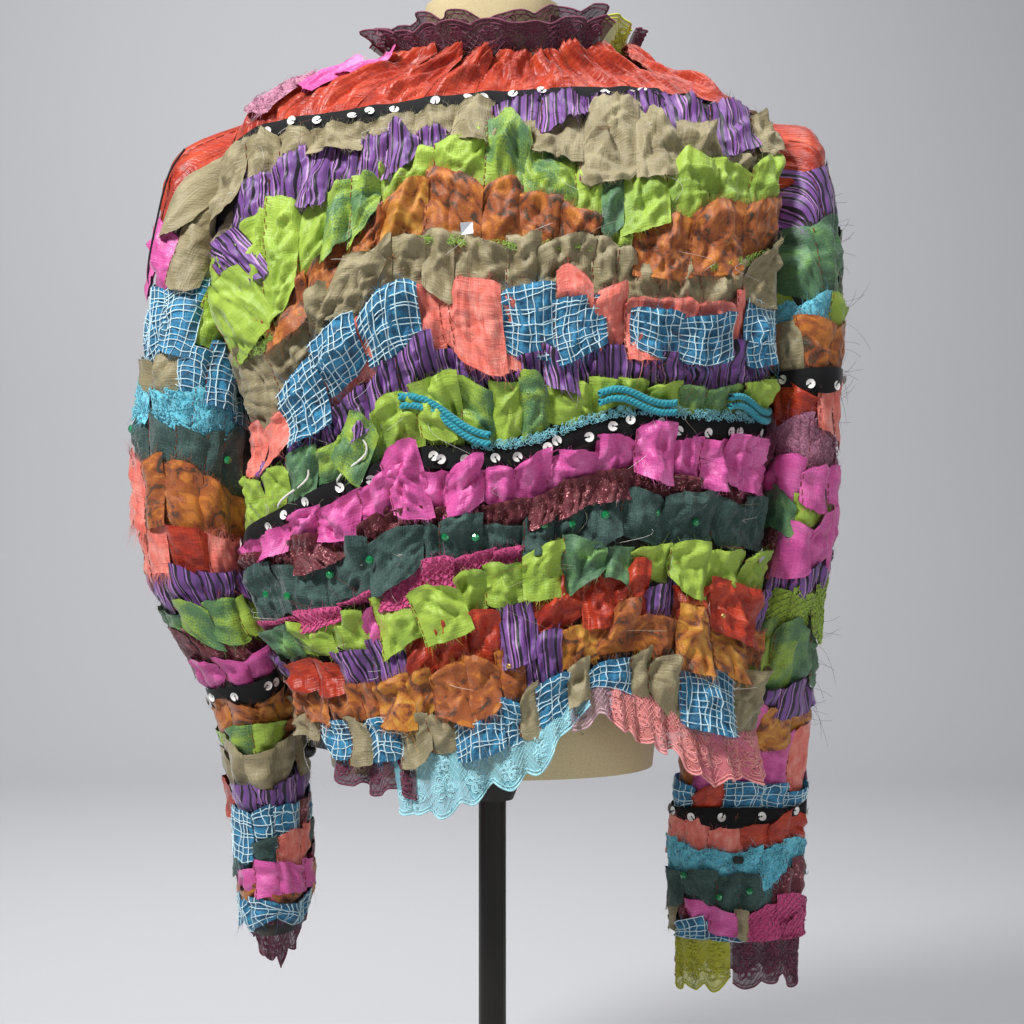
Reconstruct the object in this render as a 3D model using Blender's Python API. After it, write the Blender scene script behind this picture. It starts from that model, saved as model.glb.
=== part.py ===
"""A cropped, long-sleeved jacket of gathered silk strips, open in front, worn by a limbless dress form.

The jacket's back faces -Y and its right side faces +X. The origin is on the floor, under the pole.
Lengths are in millimetres until a mesh is written, which is in metres.
A place on the body cloth is a turn and a height. The turn is an angle in degrees, seen from above: 0 is the
left side seam, 90 the middle of the back, 180 the right side seam and 270 the middle of the front.
"""

import bpy
import numpy as np

# Cloth and gaps
WALL = 1.6
STRIP_WALL = 1.3
LACE_WALL = 1.0
SEAM_GAP = 0.4
STRIP_GAP = 1.4

# Heights above the floor
NECK_HEIGHT = 925.0
COLLAR_RISE = 34.0
FORM_BOTTOM = 397.0
FORM_TOP = 972.0
ARMHOLE_LOW, ARMHOLE_HIGH = 662.0, 884.0

# Turns, in degrees
ARMHOLE_TURN = 16.0
LEFT_FRONT_EDGE, RIGHT_FRONT_EDGE = 286.0, 254.0

# Stand
POLE_RADIUS = 10.5
BASE_RADIUS = 140.0
BASE_HEIGHT = 24.0
SOCKET_HEIGHT = 28.0
POLE_COLLAR_HEIGHT = 14.0

# Trims
BUTTON_RADIUS = 7.0
BUTTON_HEIGHTS = (880, 790, 700, 610, 520)
HEM_BUTTON_SHARE = 0.2
STRING_RADIUS = 0.8
BAND_TURN = 3.2
BAND_GAP_LEFT, BAND_GAP_RIGHT = 0.8, 0.65
HEM_BAND_TOP, HEM_BAND_LOW = 0.7, 7.5
COLLAR_FIRST_TURN, COLLAR_LAST_TURN = -68.0, 248.0
COLLAR_WAVES = 13
COLLAR_WALL = 1.4
CORD_STRIP = 8
CORD_FIRST, CORD_LAST = 0.40, 0.92
CORD_WIDTH, CORD_SWELL = 10.0, 2.6

# Ends of the back's strips, as shares of its width, and the squareness of its level sections
STRIP_FIRST, STRIP_LAST = 0.045, 0.955
SQUARENESS = 0.87
ARMHOLE_FULLNESS = 0.65

COLOURS = {
    "orange": (0.69, 0.05, 0.012),
    "black": (0.004, 0.004, 0.005),
    "taupe": (0.36, 0.30, 0.19),
    "purple": (0.20, 0.07, 0.30),
    "lime": (0.38, 0.70, 0.04),
    "rust": (0.38, 0.10, 0.01),
    "coral": (0.85, 0.19, 0.14),
    "pink": (0.87, 0.13, 0.45),
    "burgundy": (0.16, 0.007, 0.018),
    "slate": (0.04, 0.09, 0.08),
    "rose": (0.68, 0.07, 0.24),
    "turquoise": (0.37, 0.74, 0.82),
    "maroon": (0.11, 0.014, 0.04),
    "mauve": (0.55, 0.35, 0.42),
    "chartreuse": (0.54, 0.54, 0.015),
    "teal": (0.01, 0.30, 0.37),
    "linen": (0.70, 0.57, 0.33),
}

# The body cloth's level sections: an oval with its own back and front depth, its middle moved along X.
# Columns: height, centre's X, half width, depth behind, depth in front
BODY = (
    (380, 25, 155, 112, 98),
    (434, 18, 158, 112, 98),
    (478, 13, 167, 108, 97),
    (552, 6.5, 185, 104, 95),
    (650, 11, 191, 108, 100),
    (745, 2, 214, 116, 108),
    (820, 5, 213, 106, 97),
    (860, 8, 206, 90, 82),
    (885, 10, 192, 72, 64),
    (900, 12, 164, 61, 52),
    (912, 14, 124, 54, 44),
    (925, 18, 86, 50, 38),
)

# Lower edges of the back's strips, from the left side to the right, and of its hem
STATIONS = (0, 0.2, 0.33, 0.5, 0.6, 0.74, 1)
# Columns: name, colour, bulges between tucks, flare, first and last share of the back, edge at each station
STRIPS = (
    ("orange_satin", "orange", 7, 7, 0.00, 1.00, (849, 868, 872, 886, 890, 890, 880)),
    ("velvet_upper", "black", 0, 1, 0.00, 0.76, (840, 859, 861, 878, 882, 884, 877)),
    ("taupe_purple", "taupe", 8, 8, 0.00, 1.00, (753, 799, 813, 845, 834, 838, 847)),
    ("lime_upper", "lime", 7, 8, 0.00, 1.00, (704, 729, 774, 813, 791, 793, 815)),
    ("rust_upper", "rust", 7, 7, 0.09, 1.00, (699, 716, 739, 772, 774, 762, 790)),
    ("taupe_wide", "taupe", 9, 9, 0.00, 1.00, (640, 661, 697, 736, 738, 734, 749)),
    ("coral_net", "coral", 7, 7, 0.00, 1.00, (607, 622, 653, 689, 699, 694, 704)),
    ("purple_stripe", "purple", 8, 6, 0.00, 1.00, (597, 599, 618, 665, 676, 673, 685)),
    ("lime_middle", "lime", 7, 6, 0.00, 1.00, (562, 578, 599, 633, 652, 656, 654)),
    ("velvet_middle", "black", 0, 1, 0.00, 1.00, (552, 566, 586, 619, 638, 641, 640)),
    ("pink_silk", "pink", 8, 7, 0.00, 1.00, (544, 555, 562, 587, 606, 608, 607)),
    ("burgundy_lurex", "burgundy", 7, 5, 0.00, 1.00, (532, 536, 550, 572, 591, 589, 597)),
    ("slate_crepe", "slate", 8, 6, 0.00, 1.00, (504, 509, 520, 554, 566, 564, 557)),
    ("rose_crochet", "rose", 3, 4, 0.00, 0.62, (493, 501, 513, 540, 558, 560, 553)),
    ("lime_lower", "lime", 7, 7, 0.00, 1.00, (477, 480, 489, 514, 544, 533, 530)),
    ("orange_purple", "orange", 7, 7, 0.00, 1.00, (458, 461, 466, 484, 511, 510, 493)),
    ("rust_lower", "rust", 7, 6, 0.00, 1.00, (433, 438, 441, 456, 486, 480, 469)),
    ("taupe_net", "taupe", 6, 6, 0.00, 1.00, (412, 415, 416, 427, 466, 438, 425)),
)

# Hem laces on the back.
# Columns: name, colour, first and last share of the back, drop below the hem at first and at last, scallops
HEM_LACES = (
    ("hem_lace_maroon", "maroon", 0.12, 0.385, 12, 33, 2),
    ("hem_lace_turquoise", "turquoise", 0.39, 0.61, 44, 14, 4),
    ("hem_lace_mauve", "mauve", 0.615, 0.665, 22, 30, 1),
    ("hem_lace_salmon", "coral", 0.67, 0.89, 28, 42, 4),
)

# Each sleeve's sections from the armhole to the cuff.
# Columns: outer point's X and Z, inner point's X and Z, middle's Y, half the depth along Y
LEFT_SLEEVE = (
    (-231, 866, -188, 652, 0, 46),
    (-248, 826, -186, 640, 2, 54),
    (-255, 768, -186, 624, 4, 57),
    (-262, 704, -186, 604, 6, 57),
    (-270, 644, -185, 580, 8, 55),
    (-268, 580, -184, 548, 12, 54),
    (-250, 512, -170, 503, 20, 52),
    (-220, 455, -155, 458, 32, 50),
    (-206, 400, -154, 403, 42, 50),
    (-199, 330, -149, 332, 50, 50),
    (-192, 262, -151, 262, 54, 47),
)
RIGHT_SLEEVE = (
    (238, 880, 209, 652, 0, 46),
    (253, 846, 208, 640, 4, 54),
    (262, 780, 207, 624, 8, 58),
    (263, 712, 206, 604, 12, 58),
    (260, 650, 203, 582, 16, 57),
    (259, 590, 198, 552, 22, 56),
    (253, 520, 191, 505, 34, 52),
    (250, 455, 182, 452, 60, 44),
    (251, 400, 162, 400, 86, 33),
    (250, 335, 148, 335, 90, 30),
    (248, 262, 148, 262, 86, 28),
)
SLEEVES = {"left": LEFT_SLEEVE, "right": RIGHT_SLEEVE}
SLEEVE_STRIPS = 12
SLEEVE_RELIEF = 5.0
SLEEVE_SIDES = 18

FRONT_STRIPS = 9
FRONT_RELIEF = 5.0
# Above this height the shoulder turns over, and the cloth's points lie closer
SHOULDER_HEIGHT = 862.0
SHOULDER_LEVELS = 7

# The dress form's level sections below its shoulders.
# Columns: height, half width, depth behind, depth in front
FORM_TORSO = (
    (FORM_BOTTOM, 122, 92, 80),
    (430, 125, 95, 84),
    (480, 122, 90, 80),
    (560, 110, 80, 72),
    (650, 130, 90, 86),
    (745, 146, 98, 98),
    (820, 150, 90, 84),
    (860, 155, 76, 68),
)
FORM_SHOULDERS = (889, 896, 903, 909, 914, 918, 922, 926)
FORM_NECK = ((940, 53, 42, 32), (FORM_TOP, 51, 43, 33))
SEAT_INSET = 6.8

# The free string's route from the left shoulder down, with the short turn back at its end
STRING_ROUTE = (
    (-231, -22, 861),
    (-241, -24, 845),
    (-247, -25, 826),
    (-251, -25, 808),
    (-255, -25, 790),
    (-258, -24, 772),
    (-258, -24, 762),
    (-255.5, -27, 757),
    (-254, -31, 764),
)
STRING_POINTS = 36

# Cuff laces.
# Columns: name, side, first and last angle round the sleeve, drop, extra drop at the middle, colour
CUFF_LACES = (
    ("cuff_lace_left", "left", 0, 345, 10, 22, "maroon"),
    ("cuff_lace_right_chartreuse", "right", 100, 176, 42, 0, "chartreuse"),
    ("cuff_lace_right_maroon", "right", -172, 96, 38, 0, "maroon"),
)


def smooth(at, knots, values):
    """Values at `at` of the smooth curve through (knots, values), a cubic between each two knots."""
    knots = np.asarray(knots, float)
    values = np.asarray(values, float)
    slope = np.gradient(values, knots, axis=0)
    at = np.clip(at, knots[0], knots[-1])
    i = np.clip(np.searchsorted(knots, at, side="right") - 1, 0, len(knots) - 2)
    step = knots[i + 1] - knots[i]
    t = (at - knots[i]) / step
    if values.ndim > 1:
        spread = (slice(None),) + (None,) * (values.ndim - 1)
        step, t = step[spread], t[spread]
    return (
        (1 + 2 * t) * (1 - t) ** 2 * values[i]
        + t * (1 - t) ** 2 * step * slope[i]
        + t * t * (3 - 2 * t) * values[i + 1]
        + t * t * (t - 1) * step * slope[i + 1]
    )


def power(value, exponent):
    """A signed power, which squares off an oval."""
    return np.sign(value) * np.abs(value) ** exponent


def oval(turn, centre, half_width, back, front):
    """X and Y of a squared oval at a turn in degrees, with its own depth behind and in front."""
    angle = np.radians(turn)
    x = centre - half_width * power(np.cos(angle), SQUARENESS)
    depth = np.where(np.sin(angle) >= 0, back, front)
    return x, -depth * power(np.sin(angle), SQUARENESS)


def body_point(turn, height):
    """Points of the body cloth's outer face at a turn and a height, before its fronts swing out."""
    turn, height = np.broadcast_arrays(np.asarray(turn, float), np.asarray(height, float))
    table = np.array(BODY, float)
    flat = smooth(height.ravel(), table[:, 0], table[:, 1:])
    centre, half_width, back, front = (flat[:, k].reshape(height.shape) for k in range(4))
    x, y = oval(turn, centre, half_width, back, front)
    return np.stack([x, y, height], axis=-1)


def body_offset(turn, height, out):
    """Body points moved out along the cloth's normal by out."""
    turn, height, out = np.broadcast_arrays(*(np.asarray(v, float) for v in (turn, height, out)))
    around = body_point(turn + 0.5, height) - body_point(turn - 0.5, height)
    up = body_point(turn, np.minimum(height + 1, NECK_HEIGHT)) - body_point(turn, height - 1)
    normal = np.cross(around, up)
    normal /= np.linalg.norm(normal, axis=-1, keepdims=True)
    return body_point(turn, height) + normal * out[..., None]


def armhole_turn(height):
    """How far the armhole's edge lies from the side, in degrees."""
    middle = (ARMHOLE_LOW + ARMHOLE_HIGH) / 2
    reach = (ARMHOLE_HIGH - ARMHOLE_LOW) / 2
    return ARMHOLE_TURN * np.clip(1 - ((height - middle) / reach) ** 2, 0, 1) ** ARMHOLE_FULLNESS


def back_turn(share, height):
    """The turn at a share of the back's width, from its left edge (0) to its right edge (1)."""
    edge = armhole_turn(height)
    return edge + share * (180 - 2 * edge)


def solid(name, outer, inner, colour, around=False, holes=None):
    """A closed wall between two grids of points, its rim filled. holes marks cells that are cut through."""
    rows, cols = outer.shape[:2]
    last = cols if around else cols - 1
    row, col = np.meshgrid(np.arange(rows - 1), np.arange(last), indexing="ij")
    if holes is not None:
        row, col = row[~holes], col[~holes]
    row, col = row.ravel(), col.ravel()
    right = (col + 1) % cols
    a, b = row * cols + col, row * cols + right
    d, c = (row + 1) * cols + col, (row + 1) * cols + right
    face = np.concatenate([np.stack([a, b, c], 1), np.stack([a, c, d], 1)])
    count = rows * cols
    edges = {(int(t[k]), int(t[(k + 1) % 3])) for t in face for k in range(3)}
    rim = sorted(e for e in edges if (e[1], e[0]) not in edges)
    sides = [(j, i, i + count) for i, j in rim] + [(j, i + count, j + count) for i, j in rim]
    faces = np.concatenate([face, face[:, ::-1] + count, np.array(sides)])
    points = np.concatenate([outer.reshape(-1, 3), inner.reshape(-1, 3)]) / 1000
    return add_mesh(name, points, faces, colour)


def add_mesh(name, points, faces, colour):
    """An object from points in metres and triangles, its faces turned outward."""
    corner = points[faces]
    volume = np.einsum("ij,ij->i", corner[:, 0], np.cross(corner[:, 1], corner[:, 2])).sum()
    if volume < 0:
        faces = faces[:, ::-1]
    mesh = bpy.data.meshes.new(name)
    mesh.from_pydata(points.tolist(), [], faces.tolist())
    mesh.shade_smooth()
    mesh.set_sharp_from_angle(angle=np.radians(50))
    thing = bpy.data.objects.new(name, mesh)
    bpy.context.collection.objects.link(thing)
    mesh.materials.append(material(name, colour))
    return thing


def material(name, colour, roughness=0.7):
    """A plain finish in a linear colour."""
    finish = bpy.data.materials.new(name)
    finish.use_nodes = True
    shader = finish.node_tree.nodes["Principled BSDF"]
    shader.inputs["Base Color"].default_value = (*colour, 1)
    shader.inputs["Roughness"].default_value = roughness
    return finish


def turned(name, rings, colour):
    """A closed body from level rings, listed upward, with a flat bottom and top."""
    rings = np.asarray(rings, float)
    count, sides = rings.shape[:2]
    points = np.concatenate([rings.reshape(-1, 3), [rings[0].mean(0), rings[-1].mean(0)]]) / 1000
    k, j = np.meshgrid(np.arange(count - 1), np.arange(sides), indexing="ij")
    k, j = k.ravel(), j.ravel()
    n = (j + 1) % sides
    low, low_next, high, high_next = k * sides + j, k * sides + n, (k + 1) * sides + j, (k + 1) * sides + n
    faces = [np.stack([low, low_next, high_next], 1), np.stack([low, high_next, high], 1)]
    j = np.arange(sides)
    n = (j + 1) % sides
    bottom, top = count * sides, count * sides + 1
    upper = (count - 1) * sides
    faces.append(np.stack([np.full(sides, bottom), n, j], 1))
    faces.append(np.stack([np.full(sides, top), upper + j, upper + n], 1))
    return add_mesh(name, points, np.concatenate(faces), colour)


def hem_height(share):
    """The back hem's height at a share of its width."""
    return smooth(np.asarray(share, float), STATIONS, STRIPS[-1][-1])


def make_back():
    """The back that the strips are sewn to: from hem to neck, between the armholes and side seams."""
    share, rise = np.meshgrid(np.linspace(0, 1, 21), np.linspace(0, 1, 13))
    low = hem_height(share) + 0.5
    height = with_shoulder(low + rise * (SHOULDER_HEIGHT - low))
    share = np.broadcast_to(share[0], height.shape)
    turn = back_turn(share, height) + 0.25 * (1 - 2 * share)
    return solid("back", body_offset(turn, height, 0), body_offset(turn, height, -WALL), COLOURS["taupe"])


def with_shoulder(height):
    """Heights with the closer levels of the shoulder added above them."""
    levels = np.linspace(SHOULDER_HEIGHT, NECK_HEIGHT, SHOULDER_LEVELS + 1)[1:]
    return np.vstack([height, np.repeat(levels[:, None], height.shape[1], axis=1)])


def puckers(share, first, last, waves):
    """Box-like bulges between stitched tucks, 0 at each tuck and 1 between them."""
    if waves == 0:
        return np.zeros_like(share)
    return np.abs(np.sin(np.pi * waves * (share - first) / (last - first))) ** 0.6


def make_strip(number, strip, above):
    """One gathered strip on the back, from under the strip above it down to its own free lower edge."""
    name, colour, waves, flare, first, last, edge = strip
    columns = 3 * waves + 1 if waves else 25
    levels = 6 if above is None else 3 if flare > 6 else 2
    begin, end = max(first, STRIP_FIRST), min(last, STRIP_LAST)
    share, drop = np.meshgrid(np.linspace(begin, end, columns), np.linspace(0, 1, levels))
    low = smooth(share, STATIONS, edge)
    if above is None:
        high = np.full_like(low, NECK_HEIGHT - 4)
    else:
        high = smooth(share, STATIONS, above) - SEAM_GAP - 0.2
    height = high + drop * (low - high)
    taper = np.clip(np.minimum(share - begin, end - share) / 0.06, 0, 1)
    bulge = 0.4 + 0.6 * puckers(share, begin, end, waves)
    out = STRIP_GAP + STRIP_WALL + flare * drop**0.8 * bulge * taper
    turn = back_turn(share, height)
    outer = body_offset(turn, height, out)
    inner = body_offset(turn, height, out - STRIP_WALL)
    return solid(f"strip_{number:02d}_{name}", outer, inner, COLOURS[colour])


def make_strips():
    """All the back's strips, each starting where the one above it ends."""
    above = None
    for number, strip in enumerate(STRIPS, 1):
        make_strip(number, strip, above)
        above = strip[-1]


def make_hem_lace(lace):
    """A scalloped lace under the back hem, with one eyelet cut in each quarter of a scallop."""
    name, colour, first, last, drop_first, drop_last, scallops = lace
    cells = 6 * scallops
    share, down = np.meshgrid(np.linspace(first, last, cells + 1), np.linspace(0, 1, 5))
    place = (share - first) / (last - first)
    edge = drop_first + place * (drop_last - drop_first)
    scallop = 1 + 0.22 * np.abs(np.sin(np.pi * scallops * place))
    top = hem_height(share) + 2
    height = top - down * edge * scallop
    ripple = 2.2 * np.sin(2 * np.pi * 1.5 * scallops * place) * down
    out = 1.3 + 4 * down + ripple
    turn = back_turn(share, np.maximum(height, 390))
    outer = body_offset(turn, np.maximum(height, 385), out)
    outer[..., 2] = height
    inner = body_offset(turn, np.maximum(height, 385), out - LACE_WALL)
    inner[..., 2] = height
    row, col = np.meshgrid(np.arange(4), np.arange(cells), indexing="ij")
    holes = (row == 1) & (col % 2 == 1) & (col < cells - 1)
    return solid(name, outer, inner, COLOURS[colour], holes=holes)


def front_edge(side, height):
    """The turn of a front's free edge: it curves away below the chest."""
    open_low = 6 * np.clip((560 - height) / 130, 0, 1) ** 2
    if side == "left":
        return LEFT_FRONT_EDGE + open_low
    return RIGHT_FRONT_EDGE - open_low


def front_turn(side, share, height):
    """The turn at a share of a front's width, from its armhole and side seam (0) to its free edge (1)."""
    edge = armhole_turn(height) + 0.25
    start = 360 - edge if side == "left" else 180 + edge
    return start + share * (front_edge(side, height) - start)


def front_hem(side, share):
    """The front hem's height: it dips from the side seam to the free edge."""
    side_height = STRIPS[-1][-1][0] + 5 if side == "left" else STRIPS[-1][-1][-1] + 5
    dip = 26 if side == "left" else 16
    return side_height - dip * np.sin(np.pi / 2 * share) ** 1.5


def front_flare(side, share, height):
    """How far the left front's hem swings out past the side seam, where its bound edge shows from behind."""
    if side == "right":
        return np.zeros_like(share)
    near_side = np.clip(share / 0.1, 0, 1) * np.clip((0.8 - share) / 0.5, 0, 1)
    return 8 * near_side * np.clip((500 - height) / 80, 0, 1) ** 1.5


def make_front(side):
    """A front, its strips raised in its outer points over a plain inside."""
    share, rise = np.meshgrid(np.linspace(0, 1, 8), strip_levels(FRONT_STRIPS))
    low = front_hem(side, share)
    height = with_shoulder(low + rise * (SHOULDER_HEIGHT - low))
    share = np.broadcast_to(share[0], height.shape)
    turn = front_turn(side, share, height)
    swing = front_flare(side, share, height)
    taper = np.clip(np.minimum(share / 0.15, (1 - share) / 0.1), 0, 1)
    relief = np.append(strip_relief(len(rise)), np.zeros(SHOULDER_LEVELS))[:, None] * FRONT_RELIEF * taper
    outer = body_offset(turn, height, swing + relief)
    inner = body_offset(turn, height, swing - WALL)
    return solid(f"front_{side}", outer, inner, COLOURS["purple"])


def strip_levels(strips):
    """Levels from 0 to 1: each strip's free lower edge, and just below it the top of the next strip."""
    top = np.arange(1, strips) / strips
    between = np.stack([top, top + 0.10 / strips], 1).ravel()
    return np.concatenate([[0.0], between, [1.0]])


def strip_relief(levels):
    """1 on each level just above a strip's free edge and 0 on the level below it."""
    relief = np.zeros(levels)
    relief[0::2] = 1
    return relief


def make_bands(side):
    """The black band bound round a front's free edge and hem: a flat wall just outside its edge."""
    height = np.linspace(NECK_HEIGHT - 1, front_hem(side, np.array(1.0)), 14)
    down = np.ones((14, 2))
    gap = BAND_GAP_LEFT if side == "left" else -BAND_GAP_RIGHT
    reach = BAND_TURN if side == "left" else -BAND_TURN
    turn = front_turn(side, down, height[:, None]) - np.array([gap, gap + reach])
    swing = front_flare(side, down, height[:, None] + 0 * turn)
    outer = body_offset(turn, height[:, None], swing + 1)
    inner = body_offset(turn, height[:, None], swing - WALL + 0.4)
    solid(f"front_band_{side}", outer, inner, COLOURS["black"])
    share = np.linspace(0.06, 1, 12)
    edge_height = front_hem(side, share)
    level = np.stack([edge_height - HEM_BAND_TOP, edge_height - HEM_BAND_LOW])
    turn = front_turn(side, share, edge_height) + 0 * level
    swing = front_flare(side, share, edge_height) + 0 * level
    outer = body_offset(turn, level, swing + 1)
    inner = body_offset(turn, level, swing - WALL + 0.4)
    solid(f"front_hem_band_{side}", outer, inner, COLOURS["black"])


def make_buttons():
    """Black ball buttons along the left front's edge, and one on its hem near the side."""
    stands = 1.1 + BUTTON_RADIUS
    for number, height in enumerate(BUTTON_HEIGHTS, 1):
        turn = front_turn("left", np.array(1.0), np.array(float(height))) - BAND_TURN / 2
        add_ball(f"button_{number}", body_offset(turn, height, stands))
    hem_share = np.array(HEM_BUTTON_SHARE)
    height = front_hem("left", hem_share) - BUTTON_RADIUS - 1
    swing = front_flare("left", hem_share, height)
    turn = front_turn("left", hem_share, height)
    add_ball("button_6", body_offset(turn, height, stands + swing))


def add_ball(name, middle):
    """A ball button of level rings round its middle point."""
    lean = np.radians(np.array([-80, -45, 0, 45, 80]))
    turn = np.radians(np.arange(0, 360, 45))
    ring = np.stack(
        [
            np.cos(lean)[:, None] * np.cos(turn),
            np.cos(lean)[:, None] * np.sin(turn),
            np.sin(lean)[:, None] + 0 * turn,
        ],
        axis=-1,
    )
    turned(name, middle + BUTTON_RADIUS * ring, COLOURS["black"])


def sleeve_rings(side, sides):
    """A sleeve's key rings from the armhole down, each from its outer point round by the back."""
    angle = np.radians(np.arange(sides) * 360 / sides)
    middle = (ARMHOLE_LOW + ARMHOLE_HIGH) / 2
    reach = (ARMHOLE_HIGH - ARMHOLE_LOW) / 2
    lean = ARMHOLE_TURN * np.sin(angle)
    turn = lean if side == "left" else 180 - lean
    rings = [body_offset(turn, middle + reach * np.cos(angle), WALL + 0.3)]
    for outer_x, outer_z, inner_x, inner_z, middle_y, half_depth in SLEEVES[side]:
        across = np.cos(angle)
        x = (outer_x + inner_x) / 2 + (outer_x - inner_x) / 2 * across
        z = (outer_z + inner_z) / 2 + (outer_z - inner_z) / 2 * across
        rings.append(np.stack([x, middle_y - half_depth * np.sin(angle), z], axis=-1))
    return np.array(rings)


def sleeve_surface(side, down, sides):
    """A sleeve's outer points at shares of its length, and their outward normals."""
    rings = sleeve_rings(side, sides)
    step = np.linalg.norm(np.diff(rings.mean(1), axis=0), axis=1)
    length = np.concatenate([[0], np.cumsum(step)])
    points = smooth(down * length[-1], length, rings)
    along = np.gradient(points, axis=0)
    around = np.roll(points, -1, axis=1) - np.roll(points, 1, axis=1)
    normal = np.cross(along, around)
    normal /= np.linalg.norm(normal, axis=-1, keepdims=True)
    away = points - points.mean(1, keepdims=True)
    facing = np.sign((normal * away).sum(-1).sum(1))[:, None, None]
    return points, normal * facing


def make_sleeve(side):
    """A sleeve, open at both ends, with its strips raised in its outer points over a plain inside."""
    down = 1 - strip_levels(SLEEVE_STRIPS)[::-1]
    points, normal = sleeve_surface(side, down, SLEEVE_SIDES)
    angle = np.radians(np.arange(SLEEVE_SIDES) * 360 / SLEEVE_SIDES)
    away_from_body = np.clip(0.75 + 0.75 * np.cos(angle), 0, 1)
    relief = strip_relief(len(down))[::-1] * SLEEVE_RELIEF * np.clip((down - 0.04) / 0.08, 0, 1)
    outer = points + normal * (relief[:, None] * away_from_body)[..., None]
    solid(f"sleeve_{side}", outer, points - normal * WALL, COLOURS["pink"], around=True)


def make_cuff_lace(name, side, first, last, drop, point, colour):
    """A lace below a sleeve's end, from one angle round it to another, with eyelets and an optional point."""
    cells = max(6, int(round((last - first) / 15)))
    angle, down = np.meshgrid(np.radians(np.linspace(first, last, cells + 1)), np.linspace(0, 1, 5))
    outer_x, outer_z, inner_x, inner_z, middle_y, half_depth = SLEEVES[side][-1]
    place = (np.degrees(angle) - first) / (last - first)
    longer = drop + point * np.sin(np.pi * place) ** 2
    scallop = 1 + 0.1 * np.abs(np.sin(np.pi * cells / 4 * place))
    narrow = 1 - 0.10 * down
    faces = []
    for inset in (0.0, LACE_WALL):
        half_width = (outer_x - inner_x) / 2 * narrow - np.sign(outer_x) * inset
        x = (outer_x + inner_x) / 2 + half_width * np.cos(angle)
        y = middle_y - (half_depth * narrow - inset) * np.sin(angle)
        z = (outer_z + inner_z) / 2 - SEAM_GAP - down * longer * scallop
        faces.append(np.stack([x, y, z], axis=-1))
    row, col = np.meshgrid(np.arange(4), np.arange(cells), indexing="ij")
    holes = (row == 1) & (col % 2 == 1) & (col < cells - 1)
    return solid(name, faces[0], faces[1], COLOURS[colour], holes=holes)


def make_collar():
    """The standing lace ruffle round the neck, leaning out and waved, open in front."""
    turn, rise = np.meshgrid(np.linspace(COLLAR_FIRST_TURN, COLLAR_LAST_TURN, 43), np.linspace(0, 1, 4))
    wave = np.sin(np.radians(turn) * COLLAR_WAVES)
    lean = 4 + 13 * rise**1.3 + 3.5 * wave * rise
    left = np.clip(1 - np.abs(turn - 20) / 50, 0, 1)
    height = NECK_HEIGHT + SEAM_GAP + rise * (COLLAR_RISE - 8 * left)
    base = body_point(turn, NECK_HEIGHT)
    middle = base.mean((0, 1)) * (1, 0, 1)
    away = (base - middle) * (1, 1, 0)
    away /= np.linalg.norm(away, axis=-1, keepdims=True)
    shells = []
    for inset in (0.0, COLLAR_WALL):
        shell = base + away * (lean - 4 - inset)[..., None]
        shell[..., 2] = height
        shells.append(shell)
    return solid("collar_lace", shells[0], shells[1], COLOURS["maroon"])


def make_teal_cord():
    """The doubled cord sewn below the middle lime strip: a low rounded band on the strip's lower edge."""
    flare, edge = STRIPS[CORD_STRIP][3], STRIPS[CORD_STRIP][-1]
    share, across = np.meshgrid(np.linspace(CORD_FIRST, CORD_LAST, 25), np.linspace(0, 1, 3))
    height = smooth(share, STATIONS, edge) + 2 + CORD_WIDTH * across
    swell = CORD_SWELL * np.sin(np.pi * across)
    stand_off = SEAM_GAP + STRIP_WALL + flare + 0.6
    turn = back_turn(share, height)
    outer = body_offset(turn, height, stand_off + 1.2 + swell)
    inner = body_offset(turn, height, stand_off)
    return solid("teal_cord_trim", outer, inner, COLOURS["teal"])


def make_string():
    """The thin black string that hangs from the left shoulder, with a short turn back at its end."""
    route = np.array(STRING_ROUTE, float)
    step = np.linalg.norm(np.diff(route, axis=0), axis=1)
    length = np.concatenate([[0], np.cumsum(step)])
    points = smooth(np.linspace(0, length[-1], STRING_POINTS), length, route) / 1000
    curve = bpy.data.curves.new("shoulder_string", "CURVE")
    curve.dimensions = "3D"
    curve.bevel_depth = STRING_RADIUS / 1000
    curve.bevel_resolution = 2
    curve.use_fill_caps = True
    spline = curve.splines.new("POLY")
    spline.points.add(len(points) - 1)
    for place, point in zip(spline.points, points):
        place.co = (*point, 1)
    string = bpy.data.objects.new("shoulder_string", curve)
    curve.materials.append(material("shoulder_string", COLOURS["black"]))
    bpy.context.collection.objects.link(string)


def form_rings(sides):
    """The dress form's rings from its flat bottom to its neck. Its shoulders lie just under the jacket's."""
    turn = np.arange(sides) * 360 / sides
    rows = [list(row) for row in FORM_TORSO]
    table = np.array(BODY, float)
    for height in FORM_SHOULDERS:
        centre, half_width, back, front = smooth(np.array([float(height)]), table[:, 0], table[:, 1:])[0]
        rows.append([height, half_width - centre - SEAT_INSET, back - SEAT_INSET, front - SEAT_INSET])
    rows += [list(row) for row in FORM_NECK]
    rings = []
    for height, half_width, back, front in rows:
        x, y = oval(turn, 0, half_width, back, front)
        rings.append(np.stack([x, y, np.full(sides, float(height))], axis=-1))
    return np.array(rings)


def disc_rings(profile, sides):
    """Level rings of a round body from rows of radius and height, listed upward."""
    turn = np.radians(np.arange(sides) * 360 / sides)
    circle = np.stack([np.cos(turn), np.sin(turn), 0 * turn], axis=-1)
    return np.array([radius * circle + (0, 0, height) for radius, height in profile])


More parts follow.
